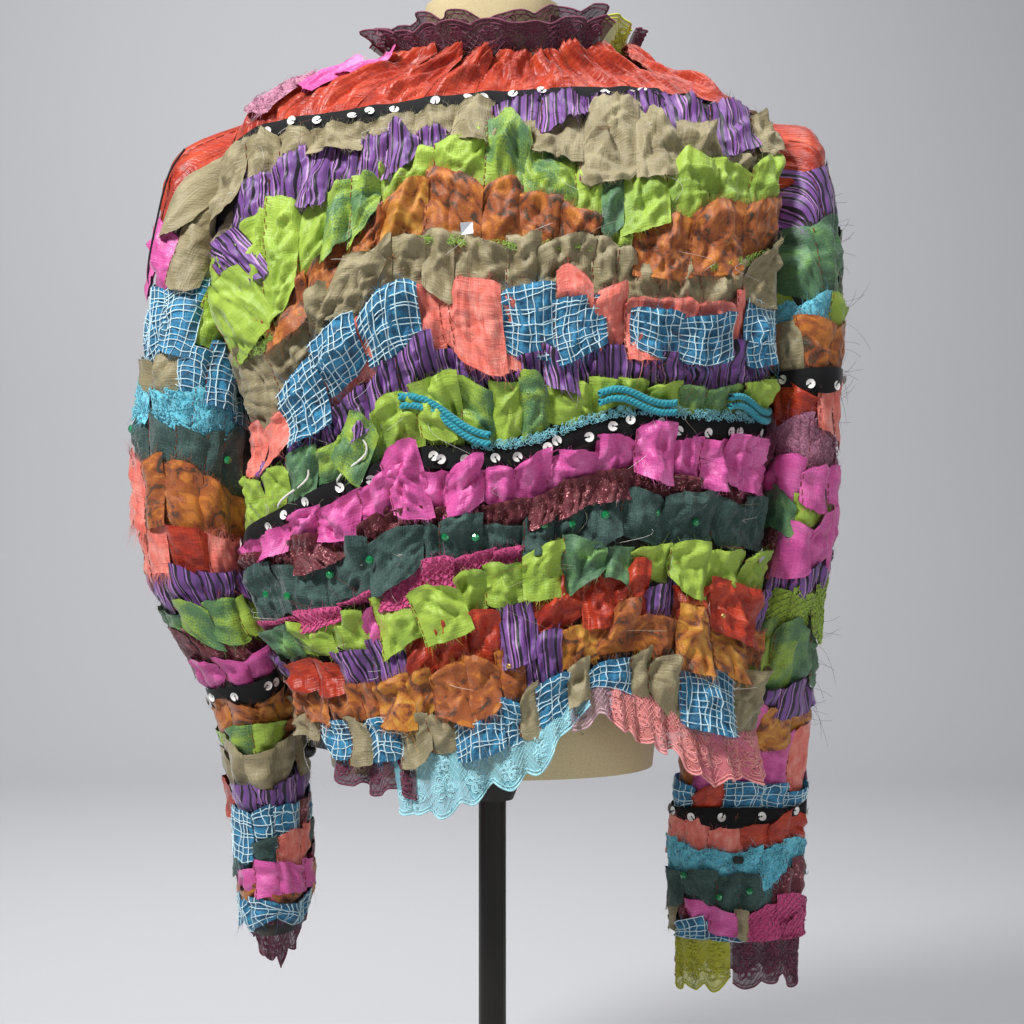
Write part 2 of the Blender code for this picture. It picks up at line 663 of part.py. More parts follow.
def make_stand():
    """The linen form, its neck cap, the socket under it, the pole and the round base."""
    turned("form_torso", form_rings(30), COLOURS["linen"])
    cap = ((40, FORM_TOP + 0.3), (44, FORM_TOP + 2), (44, FORM_TOP + 7), (38, FORM_TOP + 11))
    turned("form_neck_cap", disc_rings(cap, 20), COLOURS["black"])
    socket = ((16, FORM_BOTTOM - SOCKET_HEIGHT), (24, FORM_BOTTOM - 8), (26, FORM_BOTTOM - 0.3))
    turned("stand_socket", disc_rings(socket, 20), COLOURS["black"])
    pole_low, pole_high = BASE_HEIGHT + POLE_COLLAR_HEIGHT + 0.3, FORM_BOTTOM - SOCKET_HEIGHT - 0.3
    pole = ((POLE_RADIUS, pole_low), (POLE_RADIUS, pole_high))
    turned("stand_pole", disc_rings(pole, 20), COLOURS["black"])
    collar = ((22, BASE_HEIGHT + 0.3), (20, BASE_HEIGHT + 8), (14, BASE_HEIGHT + POLE_COLLAR_HEIGHT))
    turned("stand_collar", disc_rings(collar, 20), COLOURS["black"])
    edge = ((BASE_RADIUS - 2, 0), (BASE_RADIUS, 2), (BASE_RADIUS, 8), (BASE_RADIUS - 12, 14))
    turned("stand_base", disc_rings(edge + ((30, BASE_HEIGHT),), 36), COLOURS["black"])


def main():
    """Build every piece from an empty scene."""
    for thing in list(bpy.data.objects):
        bpy.data.objects.remove(thing)
    make_back()
    make_strips()
    for lace in HEM_LACES:
        make_hem_lace(lace)
    for side in ("left", "right"):
        make_front(side)
        make_bands(side)
        make_sleeve(side)
    make_buttons()
    for lace in CUFF_LACES:
        make_cuff_lace(*lace)
    make_collar()
    make_teal_cord()
    make_string()
    make_stand()


main()
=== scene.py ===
"""The looks of a cropped jacket made of gathered silk strips, worn by a limbless linen dress form.

The jacket's back faces -Y and its right side faces +X. Lengths are millimetres until a mesh is written.
A place on a cloth is how far it lies across that cloth, its height above the floor, and how far out it
stands from the cloth's own form.
"""

import bpy
import numpy as np
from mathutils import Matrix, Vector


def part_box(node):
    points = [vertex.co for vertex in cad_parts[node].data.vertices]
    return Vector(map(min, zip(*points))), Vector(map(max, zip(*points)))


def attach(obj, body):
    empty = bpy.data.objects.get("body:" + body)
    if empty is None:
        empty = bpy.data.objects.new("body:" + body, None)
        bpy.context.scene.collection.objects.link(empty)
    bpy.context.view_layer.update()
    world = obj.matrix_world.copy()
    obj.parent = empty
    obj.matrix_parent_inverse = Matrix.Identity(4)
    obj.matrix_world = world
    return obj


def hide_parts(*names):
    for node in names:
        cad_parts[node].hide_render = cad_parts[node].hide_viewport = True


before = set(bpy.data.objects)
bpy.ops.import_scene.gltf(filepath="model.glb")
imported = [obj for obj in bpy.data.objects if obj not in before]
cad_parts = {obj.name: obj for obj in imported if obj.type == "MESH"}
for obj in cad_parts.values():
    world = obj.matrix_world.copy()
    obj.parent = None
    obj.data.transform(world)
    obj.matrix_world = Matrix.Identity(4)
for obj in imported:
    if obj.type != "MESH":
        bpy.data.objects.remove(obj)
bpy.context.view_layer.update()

# Body cloth, as in the frame. Columns: height, centre's X, half width, depth behind, depth in front
BODY = (
    (380, 25, 155, 112, 98),
    (434, 18, 158, 112, 98),
    (478, 13, 167, 108, 97),
    (552, 6.5, 185, 104, 95),
    (650, 11, 191, 108, 100),
    (745, 2, 214, 116, 108),
    (820, 5, 213, 106, 97),
    (860, 8, 206, 90, 82),
    (885, 10, 192, 72, 64),
    (900, 12, 164, 61, 52),
    (912, 14, 124, 54, 44),
    (925, 18, 86, 50, 38),
)
NECK_HEIGHT = 925.0
ARMHOLE_LOW, ARMHOLE_HIGH, ARMHOLE_TURN, ARMHOLE_FULLNESS = 662.0, 884.0, 16.0, 0.65
FRONT_EDGES = {"left": 286.0, "right": 254.0}
FRONT_HEM_TOP = {"left": 417.0, "right": 430.0}
FRONT_HEM_DIP = {"left": 26.0, "right": 16.0}
SQUARENESS = 0.87
FORM_BOTTOM, FORM_TOP = 397.0, 972.0

# Sleeve sections. Columns: outer point's X and Z, inner point's X and Z, middle's Y, half the depth along Y
SLEEVES = {
    "left": (
        (-231, 866, -188, 652, 0, 46),
        (-248, 826, -186, 640, 2, 54),
        (-255, 768, -186, 624, 4, 57),
        (-262, 704, -186, 604, 6, 57),
        (-270, 644, -185, 580, 8, 55),
        (-268, 580, -184, 548, 12, 54),
        (-250, 512, -170, 503, 20, 52),
        (-220, 455, -155, 458, 32, 50),
        (-206, 400, -154, 403, 42, 50),
        (-199, 330, -149, 332, 50, 50),
        (-192, 262, -151, 262, 54, 47),
    ),
    "right": (
        (238, 880, 209, 652, 0, 46),
        (253, 846, 208, 640, 4, 54),
        (262, 780, 207, 624, 8, 58),
        (263, 712, 206, 604, 12, 58),
        (260, 650, 203, 582, 16, 57),
        (259, 590, 198, 552, 22, 56),
        (253, 520, 191, 505, 34, 52),
        (250, 455, 182, 452, 60, 44),
        (251, 400, 162, 400, 86, 33),
        (250, 335, 148, 335, 90, 30),
        (248, 246, 148, 246, 86, 28),
    ),
}

# How each cloth behaves when it is gathered. Columns: finish, bulge between tucks, crease depth,
# gathering ripples, frayed threads per millimetre of raw edge, their usual length
CLOTHS = {
    "orange": ("orange satin", 7.0, 3.6, 0.7, 0.7, 3.2),
    "taupe": ("taupe dupioni", 7.5, 3.8, 0.3, 0.9, 3.2),
    "purple": ("striped silk", 6.5, 2.4, 1.4, 1.3, 4.2),
    "lime": ("lime silk", 7.0, 3.6, 0.3, 0.7, 3.2),
    "sage": ("dappled silk", 7.0, 3.6, 0.3, 0.7, 3.2),
    "green": ("green silk", 7.0, 3.6, 0.4, 0.7, 3.2),
    "rust": ("rust sheer", 6.5, 3.0, 0.4, 1.6, 4.8),
    "amber": ("amber sheer", 6.5, 3.0, 0.4, 1.6, 4.8),
    "coral": ("coral crinkle", 4.5, 2.2, 0.5, 1.0, 4.0),
    "net": ("blue backing", 7.0, 1.6, 1.2, 0.8, 5.0),
    "pink": ("pink silk", 8.0, 4.4, 0.4, 0.7, 3.0),
    "burgundy": ("burgundy lurex", 6.0, 2.0, 2.2, 0.9, 3.0),
    "slate": ("slate crepe", 6.5, 2.6, 0.5, 0.6, 3.0),
    "crochet": ("rose crochet", 2.6, 0.3, 0.6, 0.7, 3.5),
    "moss": ("lime crochet", 2.6, 0.3, 0.6, 0.7, 3.5),
    "knit": ("turquoise knit", 2.6, 0.6, 0.8, 1.2, 5.0),
    "mauve": ("mauve fringe", 3.0, 1.0, 0.8, 1.2, 7.0),
    "fluff": ("coral crinkle", 6.0, 2.8, 0.8, 4.5, 7.0),
}

# Seams of the back: heights at these shares of its width, from its left edge to its right
STATIONS = (0, 0.2, 0.33, 0.42, 0.5, 0.6, 0.74, 1)
SEAMS = {
    "neck": (921, 921, 921, 921, 921, 921, 921, 921),
    "orange": (849, 868, 872, 880, 886, 890, 890, 880),
    "velvet": (840, 859, 861, 870, 878, 882, 884, 877),
    "taupe": (775, 832, 848, 852, 850, 872, 852, 862),
    "purple": (753, 799, 813, 836, 845, 834, 832, 847),
    "lime": (704, 729, 780, 814, 813, 791, 793, 815),
    "rust": (699, 716, 747, 777, 774, 774, 762, 790),
    "wide": (640, 665, 708, 741, 738, 738, 734, 749),
    "net": (607, 636, 672, 700, 696, 702, 698, 710),
    "stripe": (597, 618, 643, 672, 678, 680, 676, 685),
    "middle": (562, 588, 615, 633, 634, 655, 656, 656),
    "ribbon": (551, 576, 602, 619, 620, 641, 642, 643),
    "pink": (542, 562, 575, 592, 593, 617, 611, 607),
    "lurex": (530, 545, 562, 577, 577, 600, 594, 598),
    "slate": (504, 512, 526, 551, 560, 570, 565, 558),
    "crochet": (493, 506, 520, 531, 550, 562, 560, 553),
    "green": (477, 484, 490, 505, 522, 545, 533, 528),
    "satin": (458, 461, 466, 474, 486, 511, 510, 493),
    "amber": (433, 438, 441, 446, 456, 486, 480, 469),
    "hem": (412, 415, 416, 420, 427, 466, 438, 425),
}

# The back's rows of cloth, from the neck down. Columns: the strip it belongs to, its upper and lower seam,
# the shares of the back where it starts and ends, then its cloths with the width of each block between tucks.
# A block may also say how far it stands up over its upper seam and hangs below its lower one.
BACK_ROWS = (
    (
        "strip_01_orange_satin", "neck", "orange", 0, 1,
        ("orange", 32, 40, (36, 0, 3), 30, 38, (34, 0, 3), 30, 38, 36),
    ),
    (
        "strip_03_taupe_purple", "velvet", "taupe", 0, 1,
        ("taupe", 25, 24, 24, 38, 36, 28, 27), ("purple", 36, 33, 30, 28, 35, 33), ("taupe", 22),
    ),
    (
        "strip_03_taupe_purple", "taupe", "purple", 0, 1,
        ("taupe", (18, 22, 0)), ("purple", 30, 24, 20, 21, 20, 22, 25), (
            "taupe", 59, 36, (41, 6, 16), (29, 4, 8),
        ),
        ("taupe", (37, 8, 0), (24, 4, 0), 25),
    ),
    (
        "strip_04_lime_upper", "purple", "lime", 0, 1,
        ("lime", 25, 25, (24, 6, 0), 21), ("sage", 19, 19), ("lime", (39, 2, 0), (37, 6, 0)),
        ("sage", (29, 8, 0), (39, 8, 0)), ("lime", 20), ("green", (14, 0, 8)),
        ("lime", (34, -4, 6), (32, 6, 2), 31, 30),
    ),
    (
        "strip_05_rust_upper", "lime", "rust", 0.1, 1,
        ("rust", (36, 2, 8), 28, 25), ("amber", 30), ("rust", (38, 6, 2), 28, 28, 30), ("lime", 22),
        ("rust", (40, 0, 12), (36, 8, 6), (36, 4, 0)),
    ),
    (
        "strip_06_taupe_wide", "rust", "wide", 0, 1,
        (
            "taupe", 35, 32, (18, 8, 0), 19, (20, 5, 0), 21, (18, 0, 4), 34, (20, 4, 0), 34, 15, 27,
            (28, 5, 0), 28, 28,
        ),
    ),
    (
        "strip_07_coral_net", "wide", "net", 0, 1,
        (
            "coral", (20, 0, 6), (22, 0, 4), 28, 28, (24, 6, 0), 22, (22, 3, 0), 20, 30, 30, (22, 14, 0),
            (24, 4, 0),
        ),
        ("coral", 22, 28, 26, (20, 8, 0), 18),
    ),
    (
        "strip_07_coral_net", "wide", "net", 0, 1,
        (None, 42), ("net", (30, 10, -12), (30, 14, -10)), (None, 3), ("net", (37, 8, -6)), (None, 20),
        ("coral", (32, 8, 9)), ("net", (34, 2, 0), (32, -4, 3)), (None, 17), (
            "net", (31, -8, 3), (34, -9, 4),
        ),
        (None, 10), ("net", (24, -4, 4)), (None, 5),
    ),
    (
        "strip_08_purple_stripe", "net", "stripe", 0, 1,
        ("purple", 28, 33, 25, 20, 28, (28, 6, 0), 28, 22, 28, 24, 22, 38, 21, (28, 5, 0), (26, 6, 0), 18),
    ),
    (
        "strip_09_lime_middle", "stripe", "middle", 0, 1,
        ("lime", 20, 19), ("green", (20, 6, 4)), ("sage", 22, 24), (
            "lime", (31, 4, 0), (28, 5, 0),
        ), ("sage", 22),
        ("lime", 21), ("sage", (18, 4, 0)), ("lime", 30, 20, 19, 23), ("sage", (18, 0, 4), 26),
        ("lime", (29, 5, 0)),
    ),
    (
        "strip_11_pink_silk", "ribbon", "pink", 0, 1,
        (
            "pink", 19, 20, (20, 4, 0), 27, (37, 6, 0), 20, (24, 5, 3), 21, (22, 5, 0), 31, 25, (25, 6, 0),
            20, 16, (34, 5, 0),
        ),
    ),
    (
        "strip_12_burgundy_lurex", "pink", "lurex", 0, 1,
        ("burgundy", 23, 23, (37, 0, 5), 28, 36, 32, 34, 21, 24, (24, 0, 3), 28, 29, 46),
    ),
    (
        "strip_13_slate_crepe", "lurex", "slate", 0, 1,
        (
            "slate", (29, 5, 0), 32, (35, 6, 0), 38, 13, (28, 8, 0), 30, (20, 6, 0), 20, 27, 28,
            (34, 5, 0), 22, 21,
        ),
    ),
    (
        "strip_14_rose_crochet", "slate", "crochet", 0, 0.64,
        ("crochet", 40, 36, (30, 0, -3), 26, (34, 0, 8), 32, 30, 30),
    ),
    (
        "strip_15_lime_lower", "crochet", "green", 0, 1,
        ("green", 29), ("lime", (24, 5, 0), 25), ("pink", (9, -8, 0)), ("lime", 33, (22, 5, 0), 21, 26),
        ("lime", (25, 6, 0)), ("green", (27, 8, 4), 17), ("lime", 23, (23, 4, 5), 22, 21),
    ),
    (
        "strip_16_orange_purple", "green", "satin", 0, 1,
        ("purple", 14), (
            "orange", (20, -3, 3), (20, -3, 3),
        ), ("purple", 26, 24), ("orange", 23, (24, 4, 0), 26),
        ("purple", (26, 0, 6)), ("orange", (34, 7, -6), 21, (22, 5, 0)), ("purple", (18, -6, 0)),
        ("orange", (21, 4, 0), (32, 6, 10)), ("purple", 10),
    ),
    (
        "strip_17_rust_lower", "satin", "amber", 0, 1,
        ("rust", 31, 27, 13), ("amber", 24, 16), ("rust", 24, 22, 18), ("purple", (26, 5, 0)), ("amber", 25),
        ("rust", (24, 6, 0), 24), ("amber", (21, 4, 6), (21, 0, 8)), ("rust", 14),
    ),
    (
        "strip_18_taupe_net", "amber", "hem", 0, 1,
        ("taupe", 22), ("net", (25, 0, 3)), ("taupe", 15), ("net", (23, 0, 3)), ("taupe", 24, 20),
        ("net", (36, 0, 4)), ("net", 13), ("taupe", 15), ("net", (24, 2, 0)), ("taupe", 14),
        ("net", (30, -8, 2)), ("taupe", 12, 20),
        ("net", (34, -6, 4)), ("taupe", 22),
    ),
)

# Single patches sewn over the rows at an angle. Columns: strip, cloth, middle x, middle z, width, height,
# degrees turned to the left, and how far out it lies
PATCHES = (
    ("strip_03_taupe_purple", "purple", -179, 769, 30, 34, 38, 6.5),
    ("strip_04_lime_upper", "lime", -176, 733, 40, 46, 36, 8.0),
    ("strip_06_taupe_wide", "taupe", -95, 745, 26, 46, -28, 8.0),
    ("strip_09_lime_middle", "lime", -40, 662, 22, 44, 14, 8.0),
    ("strip_09_lime_middle", "sage", -92, 636, 24, 40, -22, 8.0),
    ("strip_11_pink_silk", "pink", -58, 610, 26, 50, 14, 8.0),
    ("strip_15_lime_lower", "lime", -32, 518, 34, 36, 24, 12.5),
)

# The sleeves' rows from the shoulder down. Columns: height of the lower edge at the outer point, behind and
# at the inner point, then each cloth with the degrees it covers, from the outer point round by the back
SLEEVE_ROWS = {
    "left": (
        (800, 798, 800, ("orange", 42), ("taupe", 138), ("pink", 90), ("orange", 90)),
        (758, 752, 760, ("pink", 60), ("taupe", 50), ("purple", 70), ("pink", 180)),
        (702, 706, 708, ("net", 92), ("lime", 88), ("taupe", 90), ("net", 90)),
        (680, 674, 652, ("taupe", 78), ("net", 102), ("purple", 180)),
        (666, 650, 638, ("knit", 180), ("lime", 180)),
        (632, 618, 590, ("slate", 180), ("slate", 180)),
        (590, 576, 562, ("fluff", 50), ("rust", 130), ("pink", 180)),
        (548, 546, 540, ("fluff", 70), ("orange", 40), ("fluff", 70), ("amber", 180)),
        (512, 520, 524, ("purple", 360)),
        (494, 498, 504, ("green", 60), ("sage", 60), ("lime", 60), ("lime", 180)),
        (468, 478, 488, ("burgundy", 360)),
        (450, 458, 472, ("pink", 180), ("coral", 180)),
        (440, 449, 463, ("velvet", 360)),
        (418, 424, 438, ("rust", 100), ("amber", 80), ("rust", 180)),
        (402, 406, 420, ("sage", 90), ("lime", 50), ("rust", 40), ("green", 180)),
        (376, 378, 386, ("taupe", 360)),
        (358, 360, 366, ("orange", 35), ("purple", 145), ("purple", 180)),
        (330, 334, 342, ("net", 150), ("burgundy", 30), ("net", 180)),
        (310, 313, 320, ("slate", 110), ("coral", 70), ("slate", 180)),
        (296, 298, 304, ("pink", 180), ("burgundy", 180)),
        (284, 287, 292, ("rust", 180), ("amber", 180)),
        (268, 270, 272, ("net", 180), ("taupe", 180)),
    ),
    "right": (
        (848, 836, 820, ("orange", 180), ("orange", 180)),
        (802, 796, 788, ("purple", 180), ("orange", 180)),
        (745, 740, 735, ("green", 100), ("lime", 80), ("green", 180)),
        (728, 722, 716, ("lime", 60), ("knit", 120), ("lime", 180)),
        (697, 692, 688, ("rust", 100), ("taupe", 80), ("taupe", 180)),
        (684, 680, 674, ("velvet", 360)),
        (645, 655, 660, ("coral", 80), ("orange", 100), ("coral", 180)),
        (618, 622, 626, ("mauve", 360)),
        (600, 598, 598, ("pink", 360)),
        (584, 580, 578, ("lime", 100), ("green", 80), ("lime", 180)),
        (553, 545, 541, ("pink", 120), ("burgundy", 60), ("pink", 180)),
        (530, 527, 524, ("purple", 360)),
        (500, 500, 500, ("moss", 180), ("green", 180)),
        (455, 452, 450, ("green", 70), ("sage", 60), ("lime", 50), ("lime", 180)),
        (440, 438, 436, ("purple", 360)),
        (412, 410, 408, ("amber", 90), ("pink", 90), ("rust", 180)),
        (368, 366, 364, ("coral", 50), ("pink", 100), ("rust", 30), ("pink", 180)),
        (352, 350, 348, ("net", 110), ("orange", 30), ("net", 40), ("net", 180)),
        (342, 340, 340, ("velvet", 360)),
        (320, 317, 314, ("orange", 90), ("coral", 90), ("coral", 180)),
        (300, 296, 294, ("knit", 360)),
        (272, 270, 272, ("burgundy", 60), ("slate", 120), ("slate", 180)),
        (
            256, 254, 258, ("crochet", 85), ("taupe", 10), ("pink", 50), ("burgundy", 15), ("taupe", 20),
            ("taupe", 180),
        ),
        (243, 243, 246, ("crochet", 85), ("net", 75), ("taupe", 20), ("taupe", 180)),
    ),
}

# The fronts' rows from the shoulder down, each with the cloths that take turns in it
FRONT_ROWS = (
    ("orange",),
    ("taupe", "purple"),
    ("lime", "sage"),
    ("rust", "amber"),
    ("taupe",),
    ("coral", "net"),
    ("purple",),
    ("sage", "lime"),
    ("pink",),
    ("burgundy",),
    ("slate",),
    ("lime", "green"),
    ("orange", "purple"),
    ("amber", "rust"),
    ("taupe", "net"),
)

BACK_STEP, SLEEVE_STEP, FRONT_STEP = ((1.63, 2.25, 1.85))
TOP_LIFT = 5.0
RAISED_AT_LEFT = {"hem": 34, "amber": 22, "satin": 8}
SEWN_LIFT = 2.6
BACK_ACROSS = 400.0
CORD_APART = 6.4
BUTTON_RADIUS = 7.0
STRING_RADIUS = 0.8
STITCH_EVERY = 4.5
LINING_SIDES, LINING_LEVELS = 48, 70
# The photograph: its width and focal length in pixels, and the camera's place in metres, level and facing +Y
PHOTO_PIXELS, FOCAL_PIXELS = 1024, 1700
CAMERA_PLACE = (0.015, -1.3, 0.588)
OVERLAP = 1.2


def smooth(at, knots, values):
    """Values of the smooth curve through (knots, values): a cubic between each two knots."""
    knots = np.asarray(knots, float)
    values = np.asarray(values, float)
    slope = np.gradient(values, knots, axis=0)
    at = np.clip(at, knots[0], knots[-1])
    i = np.clip(np.searchsorted(knots, at, side="right") - 1, 0, len(knots) - 2)
    step = knots[i + 1] - knots[i]
    t = (at - knots[i]) / step
    if values.ndim > 1:
        spread = (...,) + (None,) * (values.ndim - 1)
        step, t = step[spread], t[spread]
    return (
        (1 + 2 * t) * (1 - t) ** 2 * values[i]
        + t * (1 - t) ** 2 * step * slope[i]
        + t * t * (3 - 2 * t) * values[i + 1]
        + t * t * (t - 1) * step * slope[i + 1]
    )


def matched(*values):
    """Values as float arrays of one shared shape."""
    return np.broadcast_arrays(*(np.asarray(value, float) for value in values))


def run_length(points):
    """The distance along a row of points, from its first to each of them."""
    step = np.linalg.norm(np.diff(points, axis=0), axis=1)
    return np.concatenate([[0], np.cumsum(step)])


def power(value, exponent):
    """A signed power: sign(value) times |value| to the exponent."""
    return np.sign(value) * np.abs(value) ** exponent


def unit(vector):
    """Vectors divided by their length."""
    return vector / np.maximum(np.linalg.norm(vector, axis=-1, keepdims=True), 1e-9)


def oval_sizes(height):
    """Centre, half width and the two depths of the body's section at a height."""
    table = np.array(BODY, float)
    sizes = smooth(np.asarray(height, float), table[:, 0], table[:, 1:])
    return sizes[..., 0], sizes[..., 1], sizes[..., 2], sizes[..., 3]


def body_point(turn, height):
    """A squared oval: X = centre - half width * cos^0.87, Y = -depth * sin^0.87, with signed powers."""
    turn, height = np.broadcast_arrays(np.asarray(turn, float), np.asarray(height, float))
    centre, half_width, behind, front = oval_sizes(height)
    angle = np.radians(turn)
    x = centre - half_width * power(np.cos(angle), SQUARENESS)
    y = -np.where(np.sin(angle) >= 0, behind, front) * power(np.sin(angle), SQUARENESS)
    return np.stack([x, y, height], axis=-1)


def body_offset(turn, height, out):
    """Body points moved out along the normal, the cross product of the steps around and up."""
    turn, height, out = matched(turn, height, out)
    around = body_point(turn + 0.5, height) - body_point(turn - 0.5, height)
    up = body_point(turn, np.minimum(height + 1, NECK_HEIGHT)) - body_point(turn, height - 1)
    return body_point(turn, height) + unit(np.cross(around, up)) * out[..., None]


def armhole_turn(height):
    """How far the armhole's edge lies from the side seam, in degrees: a flattened half oval in height."""
    middle = (ARMHOLE_LOW + ARMHOLE_HIGH) / 2
    reach = (ARMHOLE_HIGH - ARMHOLE_LOW) / 2
    return ARMHOLE_TURN * np.clip(1 - ((height - middle) / reach) ** 2, 0, 1) ** ARMHOLE_FULLNESS


def back_turn(seen, height):
    """The turn at a share of the back's width as it is seen from behind: cos^0.87 runs evenly across."""
    side = np.cos(np.radians(armhole_turn(height))) ** SQUARENESS
    across = side * (1 - 2 * seen)
    return np.degrees(np.arccos(np.clip(power(across, 1 / SQUARENESS), -1, 1)))


def back_cloth(seen, height, out):
    """A point of the back at a share of its seen width. out fades to a third at both edges. The lower right
    is pushed out by up to 24 mm, and the lower left by up to 9 mm."""
    seen, height, out = matched(seen, height, out)
    edge = np.clip(np.minimum(seen, 1 - seen) / 0.03, 0, 1)
    points = body_offset(back_turn(seen, height), height, out * (0.35 + 0.65 * edge))
    right = 24 * np.clip((seen - 0.7) / 0.3, 0, 1) ** 1.6 * np.clip((640 - height) / 170, 0, 1)
    left = 9 * np.clip((0.3 - seen) / 0.3, 0, 1) ** 1.6 * np.clip((640 - height) / 120, 0, 1)
    left = left * np.clip((height - 440) / 60, 0, 1)
    points[..., 0] += right - left
    return points


def patch_cloth(middle_x, middle_z, degrees):
    """The back's cloth under a patch: millimetres along and up from its middle, turned by an angle."""
    turn = np.radians(degrees)

    def at(along, up, out):
        along, up, out = matched(along, up, out)
        x = middle_x + along * np.cos(turn) - up * np.sin(turn)
        height = middle_z + along * np.sin(turn) + up * np.cos(turn)
        left, right = back_cloth(0, height, 0)[..., 0], back_cloth(1, height, 0)[..., 0]
        return back_cloth(np.clip((x - left) / (right - left), 0, 1), height, out)

    return at


def seam(name):
    """The height of one of the back's seams at a share of its seen width. The three lowest rise a little more
    within the leftmost tenth."""
    heights = SEAMS[name]
    level = float(np.mean(heights))
    raised = RAISED_AT_LEFT.get(name, 0)

    def at(seen):
        edge = armhole_turn(level)
        share = (back_turn(np.asarray(seen, float), level) - edge) / (180 - 2 * edge)
        return smooth(share, STATIONS, heights) + raised * np.clip(1 - np.asarray(seen, float) / 0.1, 0, 1)

    return at


def front_hem(side, share):
    """A front hem's height, which dips from the side seam to the free edge."""
    return FRONT_HEM_TOP[side] - FRONT_HEM_DIP[side] * np.sin(np.pi / 2 * np.clip(share, 0, 1)) ** 1.5


def front_cloth(side):
    """The surface of a front: share 0 lies at its armhole and side seam, share 1 at its free edge."""

    def at(share, height, out):
        share, height, out = matched(share, height, out)
        opening = 6 * np.clip((560 - height) / 130, 0, 1) ** 2
        edge = armhole_turn(height) + 0.25
        start = 360 - edge if side == "left" else 180 + edge
        end = FRONT_EDGES[side] + (opening if side == "left" else -opening)
        near_side = np.clip(share / 0.1, 0, 1) * np.clip((0.8 - share) / 0.5, 0, 1)
        swing = 8 * near_side * np.clip((500 - height) / 80, 0, 1) ** 1.5 if side == "left" else 0
        return body_offset(start + share * (end - start), height, out + swing)

    return at


def sleeve_rings(side, sides):
    """Key rings of a sleeve, each from its outer point round by the back. The first is the armhole's edge."""
    angle = np.radians(np.arange(sides) * 360 / sides)
    middle = (ARMHOLE_LOW + ARMHOLE_HIGH) / 2
    reach = (ARMHOLE_HIGH - ARMHOLE_LOW) / 2
    lean = ARMHOLE_TURN * np.sin(angle)
    turn = lean if side == "left" else 180 - lean
    rings = [body_offset(turn, middle + reach * np.cos(angle), 1.9)]
    for outer_x, outer_z, inner_x, inner_z, middle_y, half_depth in SLEEVES[side]:
        x = (outer_x + inner_x) / 2 + (outer_x - inner_x) / 2 * np.cos(angle)
        z = (outer_z + inner_z) / 2 + (outer_z - inner_z) / 2 * np.cos(angle)
        rings.append(np.stack([x, middle_y - half_depth * np.sin(angle), z], axis=-1))
    return np.array(rings)


def sampled(grid, row, col):
    """Values of a grid at fractional rows and columns, its columns closing round."""
    rows, cols = grid.shape[:2]
    row = np.clip(row, 0, rows - 1.001)
    col = np.mod(col, cols)
    i, j = row.astype(int), col.astype(int) % cols
    k = (j + 1) % cols
    u, v = (row - i), (col - np.floor(col))
    if grid.ndim > 2:
        u, v = u[..., None], v[..., None]
    upper = grid[i, j] * (1 - v) + grid[i, k] * v
    lower = grid[i + 1, j] * (1 - v) + grid[i + 1, k] * v
    return upper * (1 - u) + lower * u


def sleeve_cloth(side):
    """The surface of a sleeve by angle round it and height. Its level at each angle is looked up in rings."""
    sides, levels = 144, 220
    rings = sleeve_rings(side, sides)
    length = run_length(rings.mean(1))
    points = smooth(np.linspace(0, length[-1], levels), length, rings)
    normal = np.cross(np.gradient(points, axis=0), np.roll(points, -1, axis=1) - np.roll(points, 1, axis=1))
    normal = unit(normal)
    away = points - points.mean(1, keepdims=True)
    normal *= np.sign((normal * away).sum(-1).sum(1))[:, None, None]
    heights = np.arange(900.0, 230.0, -2.0)
    level = np.stack(
        [np.interp(
            -heights, -points[:, k, 2], np.arange(levels, dtype=float),
        ) for k in range(sides)], axis=1
    )

    def at(angle, height, out):
        angle, height, out = matched(angle, height, out)
        col = angle / 360 * sides
        row = sampled(level, (900 - height) / 2, col)
        armhole = np.clip(row / 12, 0, 1)
        out = out * (0.25 + 0.75 * armhole)
        return sampled(points, row, col) + sampled(normal, row, col) * out[..., None]

    return at


def ring_seam(outer, behind, inner, wobble, phase):
    """A height that runs smoothly round a sleeve through four stations, the front one midway, and wobbles."""
    stations = np.array([outer, behind, inner, (outer + inner) / 2, outer], float)

    def at(angle):
        place = np.mod(np.asarray(angle, float), 360) / 90
        i = np.minimum(place.astype(int), 3)
        t = place - i
        wave = wobble * np.sin(3 * np.radians(angle) + phase)
        return stations[i] + (stations[i + 1] - stations[i]) * t * t * (3 - 2 * t) + wave

    return at


def put_in(name, data):
    """An object with this data, linked to the scene."""
    thing = bpy.data.objects.new(name, data)
    bpy.context.collection.objects.link(thing)
    return thing


